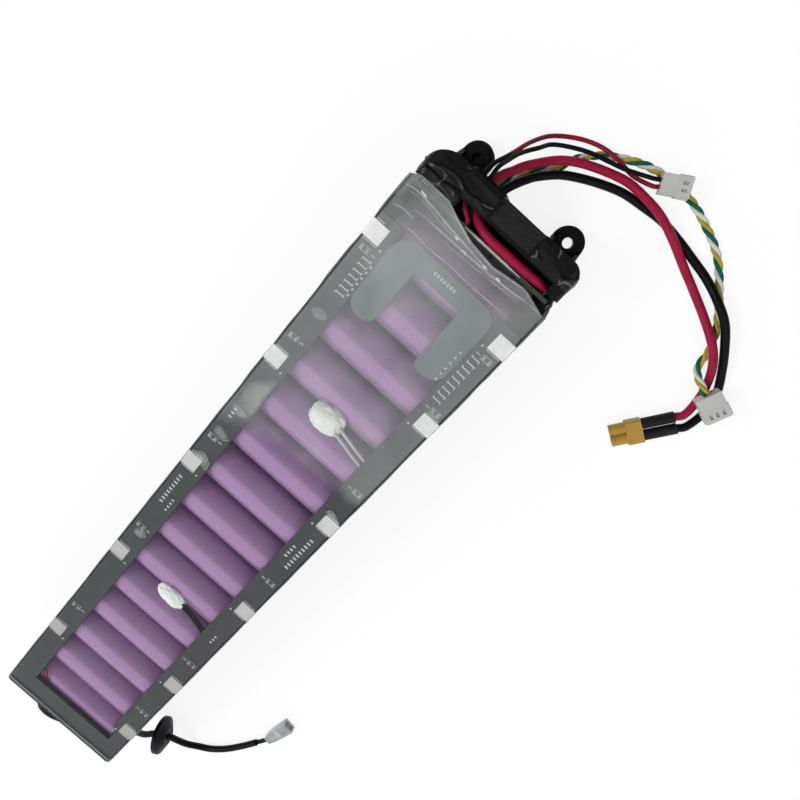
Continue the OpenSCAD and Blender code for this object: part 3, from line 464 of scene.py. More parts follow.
def sweep(path, radius, sides=8, start=0):
    """Vertices and faces of a round tube along a path."""
    verts, faces = [], []
    n = len(path)
    ref = Vector((0, 0, 1))
    for i, p in enumerate(path):
        t = (path[min(i + 1, n - 1)] - path[max(i - 1, 0)]).normalized()
        s = t.cross(ref)
        if s.length < 0.05:
            s = t.cross(Vector((0, 1, 0)))
        s.normalize()
        u = s.cross(t)
        for k in range(sides):
            a = 2 * math.pi * k / sides
            verts.append(p + radius * (math.cos(a) * s + math.sin(a) * u))
    for i in range(n - 1):
        for k in range(sides):
            a, b = start + i * sides + k, start + i * sides + (k + 1) % sides
            faces.append((a, b, b + sides, a + sides))
    faces.append(tuple(start + k for k in reversed(range(sides))))
    faces.append(tuple(start + (n - 1) * sides + k for k in range(sides)))
    return verts, faces


def free_cord(name, route, d, material, replaced):
    pts = smooth(route, lowest=d / 2 + 0.03)
    o = tube_curve(name, pts, d, material)
    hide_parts(replaced)
    return o


# One turn of the twist, radius of a wire and distance of its middle from the lead's
TURN, STRAND_R, STRAND_OFF = 13.0, 0.78, 0.82


def twisted_lead():
    centre = smooth(TWIST, 10, TWIST_D / 2)
    verts, faces, mats = [], [], []
    for w in range(3):
        path, run = [], 0.0
        for i, p in enumerate(centre):
            if i:
                run += (p - centre[i - 1]).length
            t = (centre[min(i + 1, len(centre) - 1)] - centre[max(i - 1, 0)]).normalized()
            s = t.cross(Vector((0, 0, 1))).normalized()
            u = s.cross(t)
            a = 2 * math.pi * (run / TURN + w / 3)
            path.append(p + STRAND_OFF * (math.cos(a) * s + math.sin(a) * u))
        v, f = sweep(path, STRAND_R, 10, len(verts))
        verts += v
        faces += f
        mats += [w] * len(f)
    o = mesh_piece("twisted_lead", verts, faces, [green, yellow, white], True, mats)
    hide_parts("data_lead")


free_cord("red_power_lead", RED, POWER_D, red, "power_lead_red")
free_cord("black_power_lead", BLACK, POWER_D, black, "power_lead_black")
free_cord("red_signal_lead", THIN_RED, THIN_D, thin_red, "signal_lead_red")
free_cord("black_signal_lead", THIN_BLACK, THIN_D, black, "signal_lead_black")
free_cord("sheathed_tail_lead", TAIL, TAIL_D, black, "tail_lead")
twisted_lead()


# Clear film
def film_mix(m, fac):
    """Shows the film's own surface by fac, and what lies under it by the rest."""
    clear_part = m.new("ShaderNodeBsdfTransparent")
    mix = m.new("ShaderNodeMixShader")
    m.surface(m.feed(mix, fac, clear_part.outputs[0], m.b.outputs[0]))
    return m


def film_material():
    m = Mat("film_clear", srgb(236, 240, 239), rough=0.34, spec=0.2)
    # Haze: almost none at the tail, a veil from X = 40 mm on, more towards the head
    side = m.math("ABSOLUTE", m.axis("Y"))
    slant = m.math("ADD", m.axis("X"), m.math("MULTIPLY", m.axis("Y"), 0.13))
    ragged = m.math("ADD", slant, m.math("MULTIPLY", m.noise(38, 3, 0.5), 0.016))
    along = m.grey(m.math("ADD", m.math("MULTIPLY", ragged, 2.9), 0.5),
                   [(0.0, 0.015), (0.612, 0.025), (0.628, 0.17), (0.84, 0.2), (0.885, 0.24),
                    (0.94, 0.26)])
    patch = m.grey(m.noise(30, 3, 0.5, (1, 1.5, 1), 0.4), [(0.3, 0.74), (0.7, 1.26)])
    inside = m.grey(m.math("MULTIPLY", side, 20.0), [(0.648, 1.0), (0.664, 0.05)])
    haze = m.math("MULTIPLY", m.math("MULTIPLY", along, patch), inside)
    weight = m.new("ShaderNodeLayerWeight")
    edge = m.math("MULTIPLY", m.math("POWER", weight.outputs["Facing"], 4.0), 0.2)
    # The folded margin looks dark beside the boards and grey-green beside the cap
    margin = m.grey(m.math("MULTIPLY", side, 20.0), [(0.668, 0.0), (0.676, 1.0)])
    end = m.grey(m.math("MULTIPLY", m.axis("X"), -5.0), [(0.838, 0.0), (0.841, 1.0)])
    rim = m.math("MAXIMUM", margin, end)
    tone = m.ramp(m.math("MULTIPLY", m.axis("X"), 5.0),
                  [(0.63, srgb(30, 33, 34)), (0.7, srgb(96, 104, 100))])
    m.link(m.mix("MIX", rim, m.color, tone), m.b.inputs["Base Color"])
    fac = m.math("MAXIMUM", m.math("ADD", haze, edge, clamp=True), m.math("MULTIPLY", rim, 0.94))
    # The side walls are glossier than the top
    wall = m.math("MULTIPLY", m.axis("Z"), 25.0)
    m.link(m.grey(wall, [(0.4, 0.2), (0.7, 0.34)]), m.b.inputs["Roughness"])
    m.bump(m.noise(46, 3, 0.5, (1.6, 0.6, 1), 0.8), 0.3, 0.001)
    return film_mix(m, fac)


def fold_material(name, low, high):
    m = Mat(name, srgb(240, 243, 242), rough=0.26, spec=0.5)
    m.bump(m.noise(300, 2), 0.2, 0.0003)
    return film_mix(m, m.grey(m.noise(160, 2, 0.5), [(0.35, low), (0.65, high)]))


# The film's edge over the cap, as X by Y
MOUTH = [(-35, 139.5), (-32.2, 139.6), (-22, 142.5), (-17.4, 142), (-8.8, 140.6), (2.3, 141.7),
         (11.1, 144.3), (17.4, 146.8), (30.9, 146.8), (34.4, 144.6), (35, 144.5)]


def lerp_table(table, v):
    if v <= table[0][0]:
        return table[0][1]
    for (a, fa), (b, fb) in zip(table, table[1:]):
        if v <= b:
            return fa + (fb - fa) * (v - a) / (b - a)
    return table[-1][1]


def film_section(inset, top, count=30):
    """Points round the sleeve as (y, z), from the end of the underside at the left."""
    w, r = FILM_Y - inset, 2.5
    lo, hi = inset, top - inset
    pts = []
    corners = [(w - r, lo + r, -90), (w - r, hi - r, 0), (-w + r, hi - r, 90),
               (-w + r, lo + r, 180)]
    for i, (cy, cz, a0) in enumerate(corners):
        for k in range(7):
            a = math.radians(a0 + 15 * k)
            pts.append((cy + r * math.cos(a), cz + r * math.sin(a)))
        ny, nz, na = corners[(i + 1) % 4]
        ya, za = pts[-1]
        a = math.radians(na)
        yb, zb = ny + r * math.cos(a), nz + r * math.sin(a)
        side = count if i % 2 else 14
        for k in range(1, side):
            pts.append((ya + (yb - ya) * k / side, za + (zb - za) * k / side))
    # It clings to the edges of the boards, so it is narrower at the top
    return [(y * (1 - 0.027 * max(0.0, (z - 24) / 16) ** 1.5), z) for y, z in pts]


def film_top(x):
    """Height of the film: over the board, then down to the cap."""
    return lerp_table([(120, 40), (131, 39.9), (138, 39.2), (143, 38.2), (148, 37.6)], x)


def film():
    rings = 170
    verts, faces = [], []
    # The end folds in over the tail plate, by these steps
    lips = [6.0, 4.0, 2.0, 0.6]
    for inset in lips:
        for y, z in film_section(inset, FILM_Z):
            d = 0.25 * noise.noise(Vector((y * 0.3, z * 0.3, inset)))
            verts.append((TAIL_X + 0.1 + d * 0.3, y, z))
    n = len(film_section(0, FILM_Z))
    for i in range(rings + 1):
        s = i / rings
        sx = TAIL_X + s * (FILM_END + 0.1 - TAIL_X)
        for y, z in film_section(0, film_top(sx)):
            top_face = z > film_top(sx) - 2
            # The sides end further out than the top, most at the foot
            end = lerp_table(MOUTH, y)
            if not top_face:
                foot = 1 - max(0.0, min(1.0, (z - 6) / 26))
                end = end * (1 - foot) + FILM_END * foot
            x = TAIL_X + s * (end - TAIL_X)
            near = max(0.0, min(1.0, (x - 20) / 110))
            p = Vector((x * 0.055, y * 0.09, z * 0.09))
            d = noise.noise(p) * (0.25 + 0.5 * near) + noise.noise(p * 3.1) * 0.22 * (0.4 + near)
            if top_face and abs(y) < 33:
                d = 0.12 * math.tanh(d * 3) - 0.18 if x < 131 else 0.25 * math.tanh(d * 2.5) - 0.3
                verts.append((x, y, z + d))
            elif z < 1.5:
                verts.append((x, y, max(z, 0.02)))
            else:
                k = 1 if y > 0 else -1
                low = -0.7 if z < 24 else -0.25
                verts.append((x, y + k * min(0.1, max(low, d - 0.15)), z))
    total = len(lips) + rings + 1
    for i in range(total - 1):
        for j in range(n):
            a, b = i * n + j, i * n + (j + 1) % n
            faces.append((a, b, b + n, a + n))
    o = mesh_piece("film", verts, faces, [film_mat])
    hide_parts("film_sleeve")


film_mat = film_material()
film()
# The brightest fold finish is painted highlight, for the glints on the folds and the nicks by the
# mouth
painted_glint_mat = fold_material("film_fold", 0.2, 0.75)
fold_soft = fold_material("film_fold_soft", 0.08, 0.3)
fold_patch = fold_material("film_patch", 0.05, 0.12)


# Wrinkles of the film near the cap, each as its points X, Y and its width
FOLDS = [
    ([(141.2, 32.6), (142.0, 28.4), (141.8, 23.3), (141.3, 17.9), (140.5, 12.2), (140.0, 6.7),
      (139.5, 1.3), (138.9, -4.2), (138.8, -7.4)], 0.8),
    ([(140.4, 30.0), (140.9, 25.3), (140.4, 19.9), (139.4, 12.2), (138.9, 6.0)], 0.4),
    ([(136.9, 24.5), (137.4, 17.5), (137.5, 10.8), (137.6, 4.0), (137.8, -2.8), (137.9, -8.3),
      (138.3, -13.6), (138.7, -19.4), (139.5, -25.0), (139.5, -31.2)], 0.75),
    ([(135.6, 12.0), (135.9, 4.0), (136.2, -4.0), (136.8, -12.0), (137.2, -20.0)], 0.4),
    ([(130.8, 28.0), (131.0, 20.0), (130.7, 12.0), (131.2, 2.0), (131.0, -9.0), (131.4, -20.0),
      (131.6, -30.0)], 0.5),
    ([(133.6, 31.6), (134.6, 27.5), (134.4, 22.0)], 0.6),
]
# Both ends of the glints on them, which are painted highlights: bright strips on the folds
GLINTS = [((142.9, 26.8), (142.5, 23.9)), ((139.5, 8.1), (139.4, 6.4)),
          ((138.7, -5.6), (138.7, -7.8)), ((138.8, -11.8), (138.5, -13.8)),
          ((137.6, 3.4), (137.7, 1.0))]
# Outlines of the patches where the film clings to the boards
CLINGS = [[(45.5, 31.9), (52.0, 26.7), (54.8, 23.0), (44.5, 22.3), (38.0, 22.0), (34.0, 24.0),
           (36.3, 29.5)],
          [(33.9, 22.6), (31.6, 26.1), (33.3, 30.4), (35.6, 31.0), (35.2, 26.0)],
          [(22.3, 30.8), (22.8, 27.8), (20.4, 23.4), (18.5, 25.7), (19.6, 30.4)],
          [(6.0, 31.7), (8.2, 27.9), (6.1, 23.6), (2.4, 22.9), (3.2, 25.9), (4.9, 29.4)],
          [(25.8, -25.2), (27.9, -26.9), (26.6, -30.7), (24.9, -32.6), (25.0, -28.4)],
          [(86.0, 31.0), (88.5, 27.5), (87.0, 24.0), (84.8, 25.5), (84.4, 29.0)],
          [(-44.0, 30.6), (-42.4, 27.0), (-44.4, 24.4), (-46.6, 26.6), (-46.4, 29.8)]]
PAINTED_GLINT, SOFT, PATCH = range(3)


def film_folds():
    """Wrinkles of the film as thin raised folds, with the patches where it clings to the boards."""
    verts, faces, mats = [], [], []

    def height(x):
        return min(film_top(x), 39.9) + 0.03

    def fold(points, width, kind, rise=0.05):
        path = smooth([Vector((x, y, 0)) for x, y in points], 4)
        n = len(path)
        k = len(verts)
        for i, p in enumerate(path):
            t = (path[min(i + 1, n - 1)] - path[max(i - 1, 0)]).normalized()
            s = Vector((-t.y, t.x, 0))
            w = width * 0.5 * max(0.12, math.sin(math.pi * (i + 0.5) / n) ** 0.5)
            w *= 1 + 0.35 * noise.noise(p * 0.7)
            z = height(p.x)
            verts.extend([(p.x - s.x * w, p.y - s.y * w, z - 0.03),
                          (p.x, p.y, min(z + rise, 39.99)),
                          (p.x + s.x * w, p.y + s.y * w, z - 0.03)])
            if i:
                b = k + 3 * i
                faces.extend([(b - 3, b - 2, b + 1, b), (b - 2, b - 1, b + 2, b + 1)])
                mats.extend([kind, kind])

    def patch(points):
        pts = smooth([Vector((x, y, 0)) for x, y in points + points[:1]], 4)[:-1]
        c = sum(pts, Vector()) / len(pts)
        for size, lift in ((1.0, 0.0), (0.82, 0.01), (0.62, 0.02)):
            k = len(verts)
            verts.append((c.x, c.y, height(c.x) + lift))
            for p in pts:
                q = c + (p - c) * size * (1 + 0.1 * noise.noise(p * 0.5 + Vector((0, 0, size * 9))))
                verts.append((q.x, q.y, height(q.x) + lift - 0.01))
            n = len(pts)
            for i in range(n):
                faces.append((k, k + 1 + i, k + 1 + (i + 1) % n))
                mats.append(PATCH)

    for points, width in FOLDS:
        fold(points, width, SOFT)
    # Painted highlights: each glint as a short bright strip
    for a, b in GLINTS:
        mid = ((a[0] + b[0]) / 2, (a[1] + b[1]) / 2)
        fold([a, mid, b], 0.75, PAINTED_GLINT, 0.1)
    # A row of small nicks beside the film's mouth, painted bright as highlights
    for k in range(14):
        t = k / 13
        x, y = 146.5 - 0.7 * t * t - 0.9, 28.6 - 12.6 * t
        fold([(x - 0.2, y + 0.18), (x, y), (x + 0.2, y - 0.18)], 0.3, PAINTED_GLINT, 0.06)
    # The rolled edge of the film's mouth
    rim = [(lerp_table(MOUTH, 31 - 2.2 * k) - 0.5, 31 - 2.2 * k) for k in range(29)]
    fold(rim, 0.55, SOFT, 0.06)
    for i, shape in enumerate(CLINGS):
        patch(shape)
        if i > 1:
            fold(shape[:4], 0.35, SOFT, 0.02)
            fold(shape[2:], 0.25, SOFT, 0.02)
    mesh_piece("film_folds", verts, faces, [painted_glint_mat, fold_soft, fold_patch], True,
               mats)


film_folds()


# Black tape over the shoulders of the cap
CAP_Y, CAP_Z0, CAP_Z1, CAP_EDGE = 33.6, 0.8, 36.4, 4.0


def tape_wrap(name, side, x0, x1, y_in, corner):
    """A creased sheet from the recess over the shoulder and down the side to the underside."""
    verts, faces = [], []
    rows, across, down = 40, 41, 29
    for i in range(rows + 1):
        s = i / rows
        x = x0 + (x1 - x0) * s
        back = max(0.0, x - (CAP_X1 - corner))
        wide = CAP_Y - corner + math.sqrt(max(0.0, corner * corner - back * back))
        ring = []
        for k in range(across + 1):
            y = y_in + (wide - y_in) * k / across
            over = max(0.0, y - (CAP_Y - CAP_EDGE))
            z = CAP_Z1 - CAP_EDGE + math.sqrt(max(0.0, CAP_EDGE ** 2 - over * over))
            slope = over / CAP_EDGE
            rise = math.sqrt(max(0.0, 1 - slope * slope))
            ring.append((Vector((y, z)), Vector((slope, rise)).normalized()))
        z_turn = ring[-1][0].y
        for k in range(1, 6):
            a = math.radians(90 - 18 * k)
            ring.append((Vector((wide, z_turn)), Vector((math.cos(a), math.sin(a)))))
        for k in range(1, down + 1):
            ring.append((Vector((wide, z_turn + (CAP_Z0 - z_turn) * k / down)), Vector((1, 0))))
        for k in range(1, 4):
            a = math.radians(-30 * k)
            ring.append((Vector((wide, CAP_Z0)), Vector((math.cos(a), math.sin(a)))))
        count = len(ring)
        for q, out in ring:
            p = Vector((x * 0.19, q.x * 0.085 * side, q.y * 0.1))
            ridge = max(0.0, 1 - abs(noise.noise(p + Vector((3.1, 0, 0)))) * 6) ** 1.6
            swell = 0.5 + 0.5 * noise.noise(p * 1.7)
            rim = min(1.0, (x - x0) / 1.2, (x1 - x) / 1.2)
            lift = 0.1 + (0.3 * swell + 0.45 * ridge) * max(0.12, rim)
            if out.y < -0.1:
                lift = 0.1
            v = q + out * lift
            # On top it reaches nearer to the cap's front than down the side
            reach = 2.3 * s * max(0.0, min(1.0, (CAP_Y - corner - q.x) / 6))
            verts.append((x + reach, side * v.x, v.y))
    for i in range(rows):
        for k in range(count - 1):
            a, b = i * count + k, i * count + k + 1
            f = (a, a + count, b + count, b)
            faces.append(f if side > 0 else f[::-1])
    return mesh_piece(name, verts, faces, [tape])


left_tape = tape_wrap("tape_left", 1, 150.55, 157.3, 4.7, 10.0)
left_rear = tape_wrap("tape_left_rear", 1, 146.8, 150.65, 15.8, 10.0)
right_tape = tape_wrap("tape_right", -1, 150.55, 157.3, 15.7, 6.0)


# Middle and radius of the dark tape under the left ear, which paints shade into its hole
EAR_X, EAR_Y, EAR_SHADE_R = 163.3625, 23.5, 5.0


def ear_shade_tape():
    """A turn of dark tape under the left ear, put there as painted shade: it closes the ear's hole
    from below.
    """
    verts, faces = [], []
    n = 36
    for z in (0.25, 0.72):
        for k in range(n):
            a = 2 * math.pi * k / n
            r = EAR_SHADE_R + 0.5 * noise.noise(Vector((3 * math.cos(a), 3 * math.sin(a), 0.3)))
            x = EAR_X + r * math.cos(a)
            # It reaches back under the cap
            if math.cos(a) < -0.2:
                x -= 2.5
            verts.append((x, EAR_Y + r * math.sin(a), z))
    faces.append(tuple(reversed(range(n))))
    faces.append(tuple(range(n, 2 * n)))
    for k in range(n):
        j = (k + 1) % n
        faces.append((k, j, n + j, n + k))
    mesh_piece("shade_tape_under_ear", verts, faces, [tape], False)


ear_shade_tape()
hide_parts("cap_tape")
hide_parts("cap_tape")
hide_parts("cap_tape")


# Beads of set silicone on the two temperature probes
def cell_top(x):
    """Height of the wrapped cells' upper side, or of the dip between two of them."""
    k = round((x - FIRST_X) / CELL_PITCH)
    d = x - FIRST_X - k * CELL_PITCH
    return TOP_ROW_Z + (math.sqrt(CELL_R ** 2 - d * d) if abs(d) < CELL_R else 0.0)


# Height that a bead stays under, highest level of its foot, and how far down it reaches
BEAD_TOP, BEAD_FOOT, BEAD_DEPTH = 39.3, 38.8, 3.5


def blob(name, centre, radii, seed, node):
    """A lumpy, slightly square bead that rests on the cells."""
    bm = bmesh.new()
    bmesh.ops.create_icosphere(bm, subdivisions=5, radius=1)
    for v in bm.verts:
        d = v.co.normalized()
        flat = max(math.hypot(d.x, d.y), 1e-6)
        boxy = (abs(d.x / flat) ** 2.5 + abs(d.y / flat) ** 2.5) ** -0.4 if flat > 1e-5 else 1.0
        wide = 1 + (boxy - 1) * flat
        lumps = (1 + 0.16 * noise.noise(d * 1.5 + Vector(seed))
                 + 0.07 * noise.noise(d * 4.2 + Vector(seed)))
        top = abs(d.z) ** 0.75 * (1 if d.z > 0 else -1)
        p = Vector((d.x * radii[0] * wide * lumps, d.y * radii[1] * wide * lumps,
                    top * radii[2] * lumps))
        p += Vector(centre)
        p.z = min(p.z, BEAD_TOP)
        p.z = max(p.z, min(cell_top(p.x) + 0.02, BEAD_FOOT), centre[2] - BEAD_DEPTH)
        v.co = p * MM
    me = bpy.data.meshes.new(name)
    bm.to_mesh(me)
    bm.free()
    me.materials.append(silicone.m)
    me.polygons.foreach_set("use_smooth", [True] * len(me.polygons))
    o = put(name, me)
    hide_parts(node)


blob("bead_head", (55.0, -0.5, 35.4), (5.9, 7.4, 3.7), (1.2, 4.1, 0.3), "probe_bead_1")
blob("bead_tail", (-62.8, -1.2, 35.9), (4.2, 7.2, 3.2), (7.4, 2.2, 5.1), "probe_bead_2")


def probe_pair(name, line, gap, d, z, material, node):
    """Two thin wires from a bead, over the cells, to the inside of the right holder."""
    verts, faces = [], []
    for s in (-0.5, 0.5):
        route = [(x + s * gap, y, max(z, cell_top(x) + d / 2 + 0.1)) for x, y in line]
        v, f = sweep(smooth(route), d / 2, 12, len(verts))
        verts += v
        faces += f
    o = mesh_piece(name, verts, faces, [material])
    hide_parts(node)


probe_pair("probe_wires_head", [(54.6, -6.6), (54.4, -8.2), (53.4, -13), (52.3, -18), (51.5, -22.6),
                                (51.3, -24.3)],
           2.9, 1.45, 37.3, pale, "probe_wires_1")
probe_pair("probe_wires_tail", [(-62.3, -7), (-62.4, -9), (-62.8, -13), (-64.0, -18),
                                (-65.8, -22.5), (-66.4, -24.3)],
           1.5, 1.4, 37.3, black, "probe_wires_2")

# The leads inside the cap, point for point as in the CAD
INNER_RED = [(144.3725, -27, 28.7), (145.2, -27, 28.7), (146.4, -26, 30.5), (146.6, -23, 32.5),
             (146.4, -18.6, 33.7), (146.3, -13, 34.1), (146.3, -7, 34.1), (146.3, -1.4, 33.9),
             (146.9, 3, 32.7), (148.3, 7, 30.1), (150.6, 10, 26.1), (153.2, 11.6, 22.1),
             (155.4, 12, 20), (157.8525, 12, 20)]
INNER_THIN = [(144.3725, 8.6, 32.1), (145.4, 8.6, 32.1), (146.6, 9.8, 32.1), (147.8, 12, 31.7),
              (150, 14.2, 30.1), (152.6, 15.4, 27.1), (155, 15.8, 24.5), (157.8525, 15.8, 24.5)]


def inner_lead(name, route, d, node):
    verts, faces = sweep(smooth(route), d / 2, 18)
    o = mesh_piece(name, verts, faces, [red])
    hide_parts(node)


inner_lead("inner_red", INNER_RED, POWER_D, "inner_lead_red")
inner_lead("inner_thin", INNER_THIN, THIN_D, "inner_lead_thin")


# Markings of the boards: outlines, pads and plain bars
MARK_T = 0.05
BOX_FACES = ((0, 3, 2, 1), (4, 5, 6, 7), (0, 1, 5, 4), (1, 2, 6, 5), (2, 3, 7, 6), (3, 0, 4, 7))
# Middles of the tabs, and how far the sense part that belongs to each lies from it
LEFT_TABS = [FIRST_X + k * CELL_PITCH - 3.1 for k in (2, 5, 8, 11, 14)]
RIGHT_TABS = [FIRST_X + CELL_PITCH - 6.2]
RIGHT_TABS += [FIRST_X + k * CELL_PITCH - 3.1 for k in (3, 6, 9, 12, 14)]
SENSE_Y = 29.3
SENSE = [(x + d, SENSE_Y) for x, d in zip(LEFT_TABS, (18, 18, 15.5, 11, -7))]
SENSE += [(x + d, -SENSE_Y) for x, d in zip(RIGHT_TABS, (17, 17, 20.5, 20, 6, -7))]
# Rows of pads: side, first X, number of pads, then Y, first pad and shift of the labels
PAD_PITCH, LABELS = 2.62, 6
PAD_ROWS = ((1, 97.05, 7, 23.5, 0, 1.75), (-1, 92.05, 9, 20.6, 2, 0.6))
# Plain bars where the photo has words: first X, Y, number of bars, half height
BARS = ((28.4, 29.1, 3, 0.8), (-25.0, 29.4, 9, 0.95), (-27.0, 25.4, 4, 0.65),
        (-3.6, -25.8, 4, 0.8), (-8.0, -29.4, 10, 1.0), (-66.0, -28.5, 3, 0.6))
BAR_PITCH, BAR_W = 2.0, 0.85
# Patches of painted shadow on the boards beside the two tabs nearest to the head, under the film's
# fold at the board's end
SHADOW_SPOTS = (((125.8, -32.6), (128.0, -32.6), (128.2, -30.7), (127.3, -27.7), (126.0, -25.3),
          (125.9, -29.1)),
         ((125.8, 25.2), (127.3, 24.6), (129.0, 25.4), (127.6, 28.5), (125.8, 29.6)))
WHITE, TIN, PAINTED_SHADOW = range(3)


def marks():
    verts, faces, mats = [], [], []
    z = BOARD_Z

    def quad(x0, y0, x1, y1, kind=WHITE):
        k = len(verts)
        verts.extend((x, y, z + h) for h in (0, MARK_T)
                     for x, y in ((x0, y0), (x1, y0), (x1, y1), (x0, y1)))
        faces.extend(tuple(k + c for c in f) for f in BOX_FACES)
        mats.extend([kind] * len(BOX_FACES))

    def outline(x0, y0, x1, y1, w):
        quad(x0, y0, x1, y0 + w)
        quad(x0, y1 - w, x1, y1)
        quad(x0, y0 + w, x0 + w, y1 - w)
        quad(x1 - w, y0 + w, x1, y1 - w)

    for x, y in SENSE:
        s = 1 if y > 0 else -1
        outline(x - 1.15, y - 2.1, x + 1.15, y + 2.1, 0.2)
        for d in (-1.15, 1.0):
            quad(x - 0.9, y + d, x + 0.9, y + d + 0.16)
        quad(x - 0.25, y - s * 4.9, x + 0.1, y - s * 2.9)
        quad(x - 0.5, y - s * 4.3, x + 0.4, y - s * 4.0)
    for tabs, s in ((LEFT_TABS, 1), (RIGHT_TABS, -1)):
        for x in tabs:
            quad(x - 4.4, s * 24.5 - 0.4, x - 3.6, s * 24.5 + 0.4)
            quad(x - 4.3, s * 26.4, x - 3.9, s * 32.6, TIN)
            quad(x + 3.9, s * 26.4, x + 4.3, s * 32.6, TIN)
    for s, x0, count, label, first, shift in PAD_ROWS:
        for k in range(count):
            x = x0 + k * PAD_PITCH
            quad(x - 0.27, s * 26.2 - 1.95, x + 0.27, s * 26.2 + 1.95)
            quad(x - 0.75, s * 27.95 - 0.2, x - 0.27, s * 27.95 + 0.2)
            quad(x + 0.27, s * 24.45 - 0.2, x + 0.75, s * 24.45 + 0.2)
            if first <= k < first + LABELS:
                quad(x + shift - 0.42, s * label - 0.45, x + shift + 0.42, s * label + 0.45, TIN)
    for x0, y0, count, tall in BARS:
        for k in range(count):
            x = x0 + k * BAR_PITCH
            quad(x, y0 - tall * 0.9, x + BAR_W, y0 + tall * 0.9)
    # A short row of pads in front of the cap
    for k in range(7):
        quad(125.0, -4.7 + k * 1.5, 126.3, -3.8 + k * 1.5)
    # Painted shadow: flat dark patches in the holder's black
    for shadow_spot in SHADOW_SPOTS:
        k, n = len(verts), len(shadow_spot)
        verts.extend((x, y, z + h) for h in (0, MARK_T) for x, y in shadow_spot)
        faces.append(tuple(range(k + n - 1, k - 1, -1)))
        faces.append(tuple(range(k + n, k + 2 * n)))
        faces.extend((k + i, k + (i + 1) % n, k + n + (i + 1) % n, k + n + i) for i in range(n))
        mats.extend([PAINTED_SHADOW] * (n + 2))
    mesh_piece("board_marks", verts, faces, [mark_white, mark_tin, holder], False,
               mats)


mark_white = Mat("mark_white", srgb(192, 195, 194), rough=0.6)
mark_white.tint(mark_white.noise(600, 3), 0.8, 1.05).bump(mark_white.noise(2500), 0.1, 0.0001)
mark_tin = Mat("mark_tin", srgb(178, 180, 180), rough=0.35, metal=0.6)
mark_tin.tint(mark_tin.noise(900, 3), 0.8, 1.1).bump(mark_tin.noise(2200), 0.2, 0.0001)
marks()


def solid(name, outline, z0, z1, material):
    """A flat piece from a counterclockwise outline, with a small chamfer on its upper edge."""
    n = len(outline)
    verts = [(x, y, z0) for x, y in outline] + [(x, y, z1 - 0.1) for x, y in outline]
    for i, (x, y) in enumerate(outline):
        a, b = Vector(outline[i - 1]), Vector(outline[(i + 1) % n])
        t = (b - a).normalized()
        verts.append((x - t.y * 0.1, y + t.x * 0.1, z1))
    faces = [tuple(reversed(range(n))), tuple(range(2 * n, 3 * n))]
    for row in (0, n):
        for k in range(n):
            j = (k + 1) % n
            faces.append((row + k, row + j, row + n + j, row + n + k))
    return mesh_piece(name, verts, faces, [material], False)


def sense_chips():
    """Each sense part as a body between two tinned ends."""
    verts, faces, mats = [], [], []
    for x, y in SENSE:
        for y0, y1, kind in ((-1.5, -0.95, 1), (-0.95, 0.95, 0), (0.95, 1.5, 1)):
            k = len(verts)
            w, h = (0.75, 0.42) if kind else (0.72, 0.4)
            verts.extend((x + a * w, y + (y0 if b < 0 else y1), BOARD_Z + c * h)
                         for c in (0, 1) for a, b in ((-1, -1), (1, -1), (1, 1), (-1, 1)))
            faces.extend(tuple(k + c for c in f) for f in BOX_FACES)
            mats.extend([kind] * len(BOX_FACES))
    o = mesh_piece("sense_chips", verts, faces, [part_pale, mark_tin], False, mats)
    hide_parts("sense_parts")


def arc(cx, cy, r, a0, a1, count=8):
    return [(cx + r * math.cos(math.radians(a0 + (a1 - a0) * k / count)),
             cy + r * math.sin(math.radians(a0 + (a1 - a0) * k / count))) for k in range(count + 1)]


def head_board_piece():
    """The U-shaped board with every corner rounded."""
    lo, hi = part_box("head_board")
    x0, y0, z0 = (c / MM for c in lo)
    x1, y1, z1 = (c / MM for c in hi)
    arm, bar = 12.0, 8.0
    # Each corner as its middle, radius, and first and last angle
    corners = [(x0 + 6, y0 + 6, 6, 180, 270), (x1 - 7, y0 + 7, 7, 270, 360),
               (x1 - 7, y1 - 7, 7, 0, 90), (x0 + 6, y1 - 6, 6, 90, 180),
               (x0 + 4.5, y1 - arm + 4.5, 4.5, 180, 270),
               (x1 - bar - 1.5, y1 - arm - 1.5, 1.5, 90, 0),
               (x1 - bar - 1.5, y0 + arm + 1.5, 1.5, 0, -90), (x0 + 3, y0 + arm - 3, 3, 90, 180)]
    shape = [p for corner in corners for p in arc(*corner)]
    o = solid("head_board_plate", shape, z0, z1, board_light)
    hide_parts("head_board")


def strip_piece():
    """The foam strip, as a thin soft rounded bar by the red lead, whose pale colour also paints the
    highlight along the lead.
    """
    lo, hi = (tuple(c / MM for c in p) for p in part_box("board_strip"))
    verts, faces = [], []
    rows, sides = 30, 8
    for i in range(rows + 1):
        y = lo[1] + (hi[1] - lo[1]) * i / rows
        wide = 0.52 * min(1.0, 0.35 + 0.9 * math.sin(math.pi * i / rows))
        x = hi[0] - 0.6 + 0.06 * noise.noise(Vector((0, y * 0.4, 0)))
        for k in range(sides + 1):
            a = math.pi * k / sides
            verts.append((x - wide * math.cos(a), y, lo[2] + (hi[2] - lo[2]) * math.sin(a) ** 0.6))
    for i in range(rows):
        for k in range(sides):
            a = i * (sides + 1) + k
            faces.append((a, a + 1, a + sides + 2, a + sides + 1))
    o = mesh_piece("foam_strip", verts, faces, [foam_and_highlight_mat])
    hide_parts("board_strip")


# Pale foam, which also paints the highlight along the red lead
foam_and_highlight_mat = Mat("foam_grey_and_highlight", srgb(196, 196, 193), rough=0.6, spec=0.2)
foam_and_highlight_mat.tint(foam_and_highlight_mat.noise(300, 3), 0.8, 1.08).bump(foam_and_highlight_mat.noise(1500), 0.3, 0.0002)
sense_chips()
head_board_piece()
strip_piece()


# Stage and light
FLOOR_HALF = 6.0
FLOOR_LIFT, FLOOR_GLOW = 0.8, 1.05
# The room as stops of place and brightness: bright on the tail's side, dark behind the head
ROOM = ((0.3, 0.98), (0.44, 1.12), (0.515, 0.3), (1.0, 0.26))


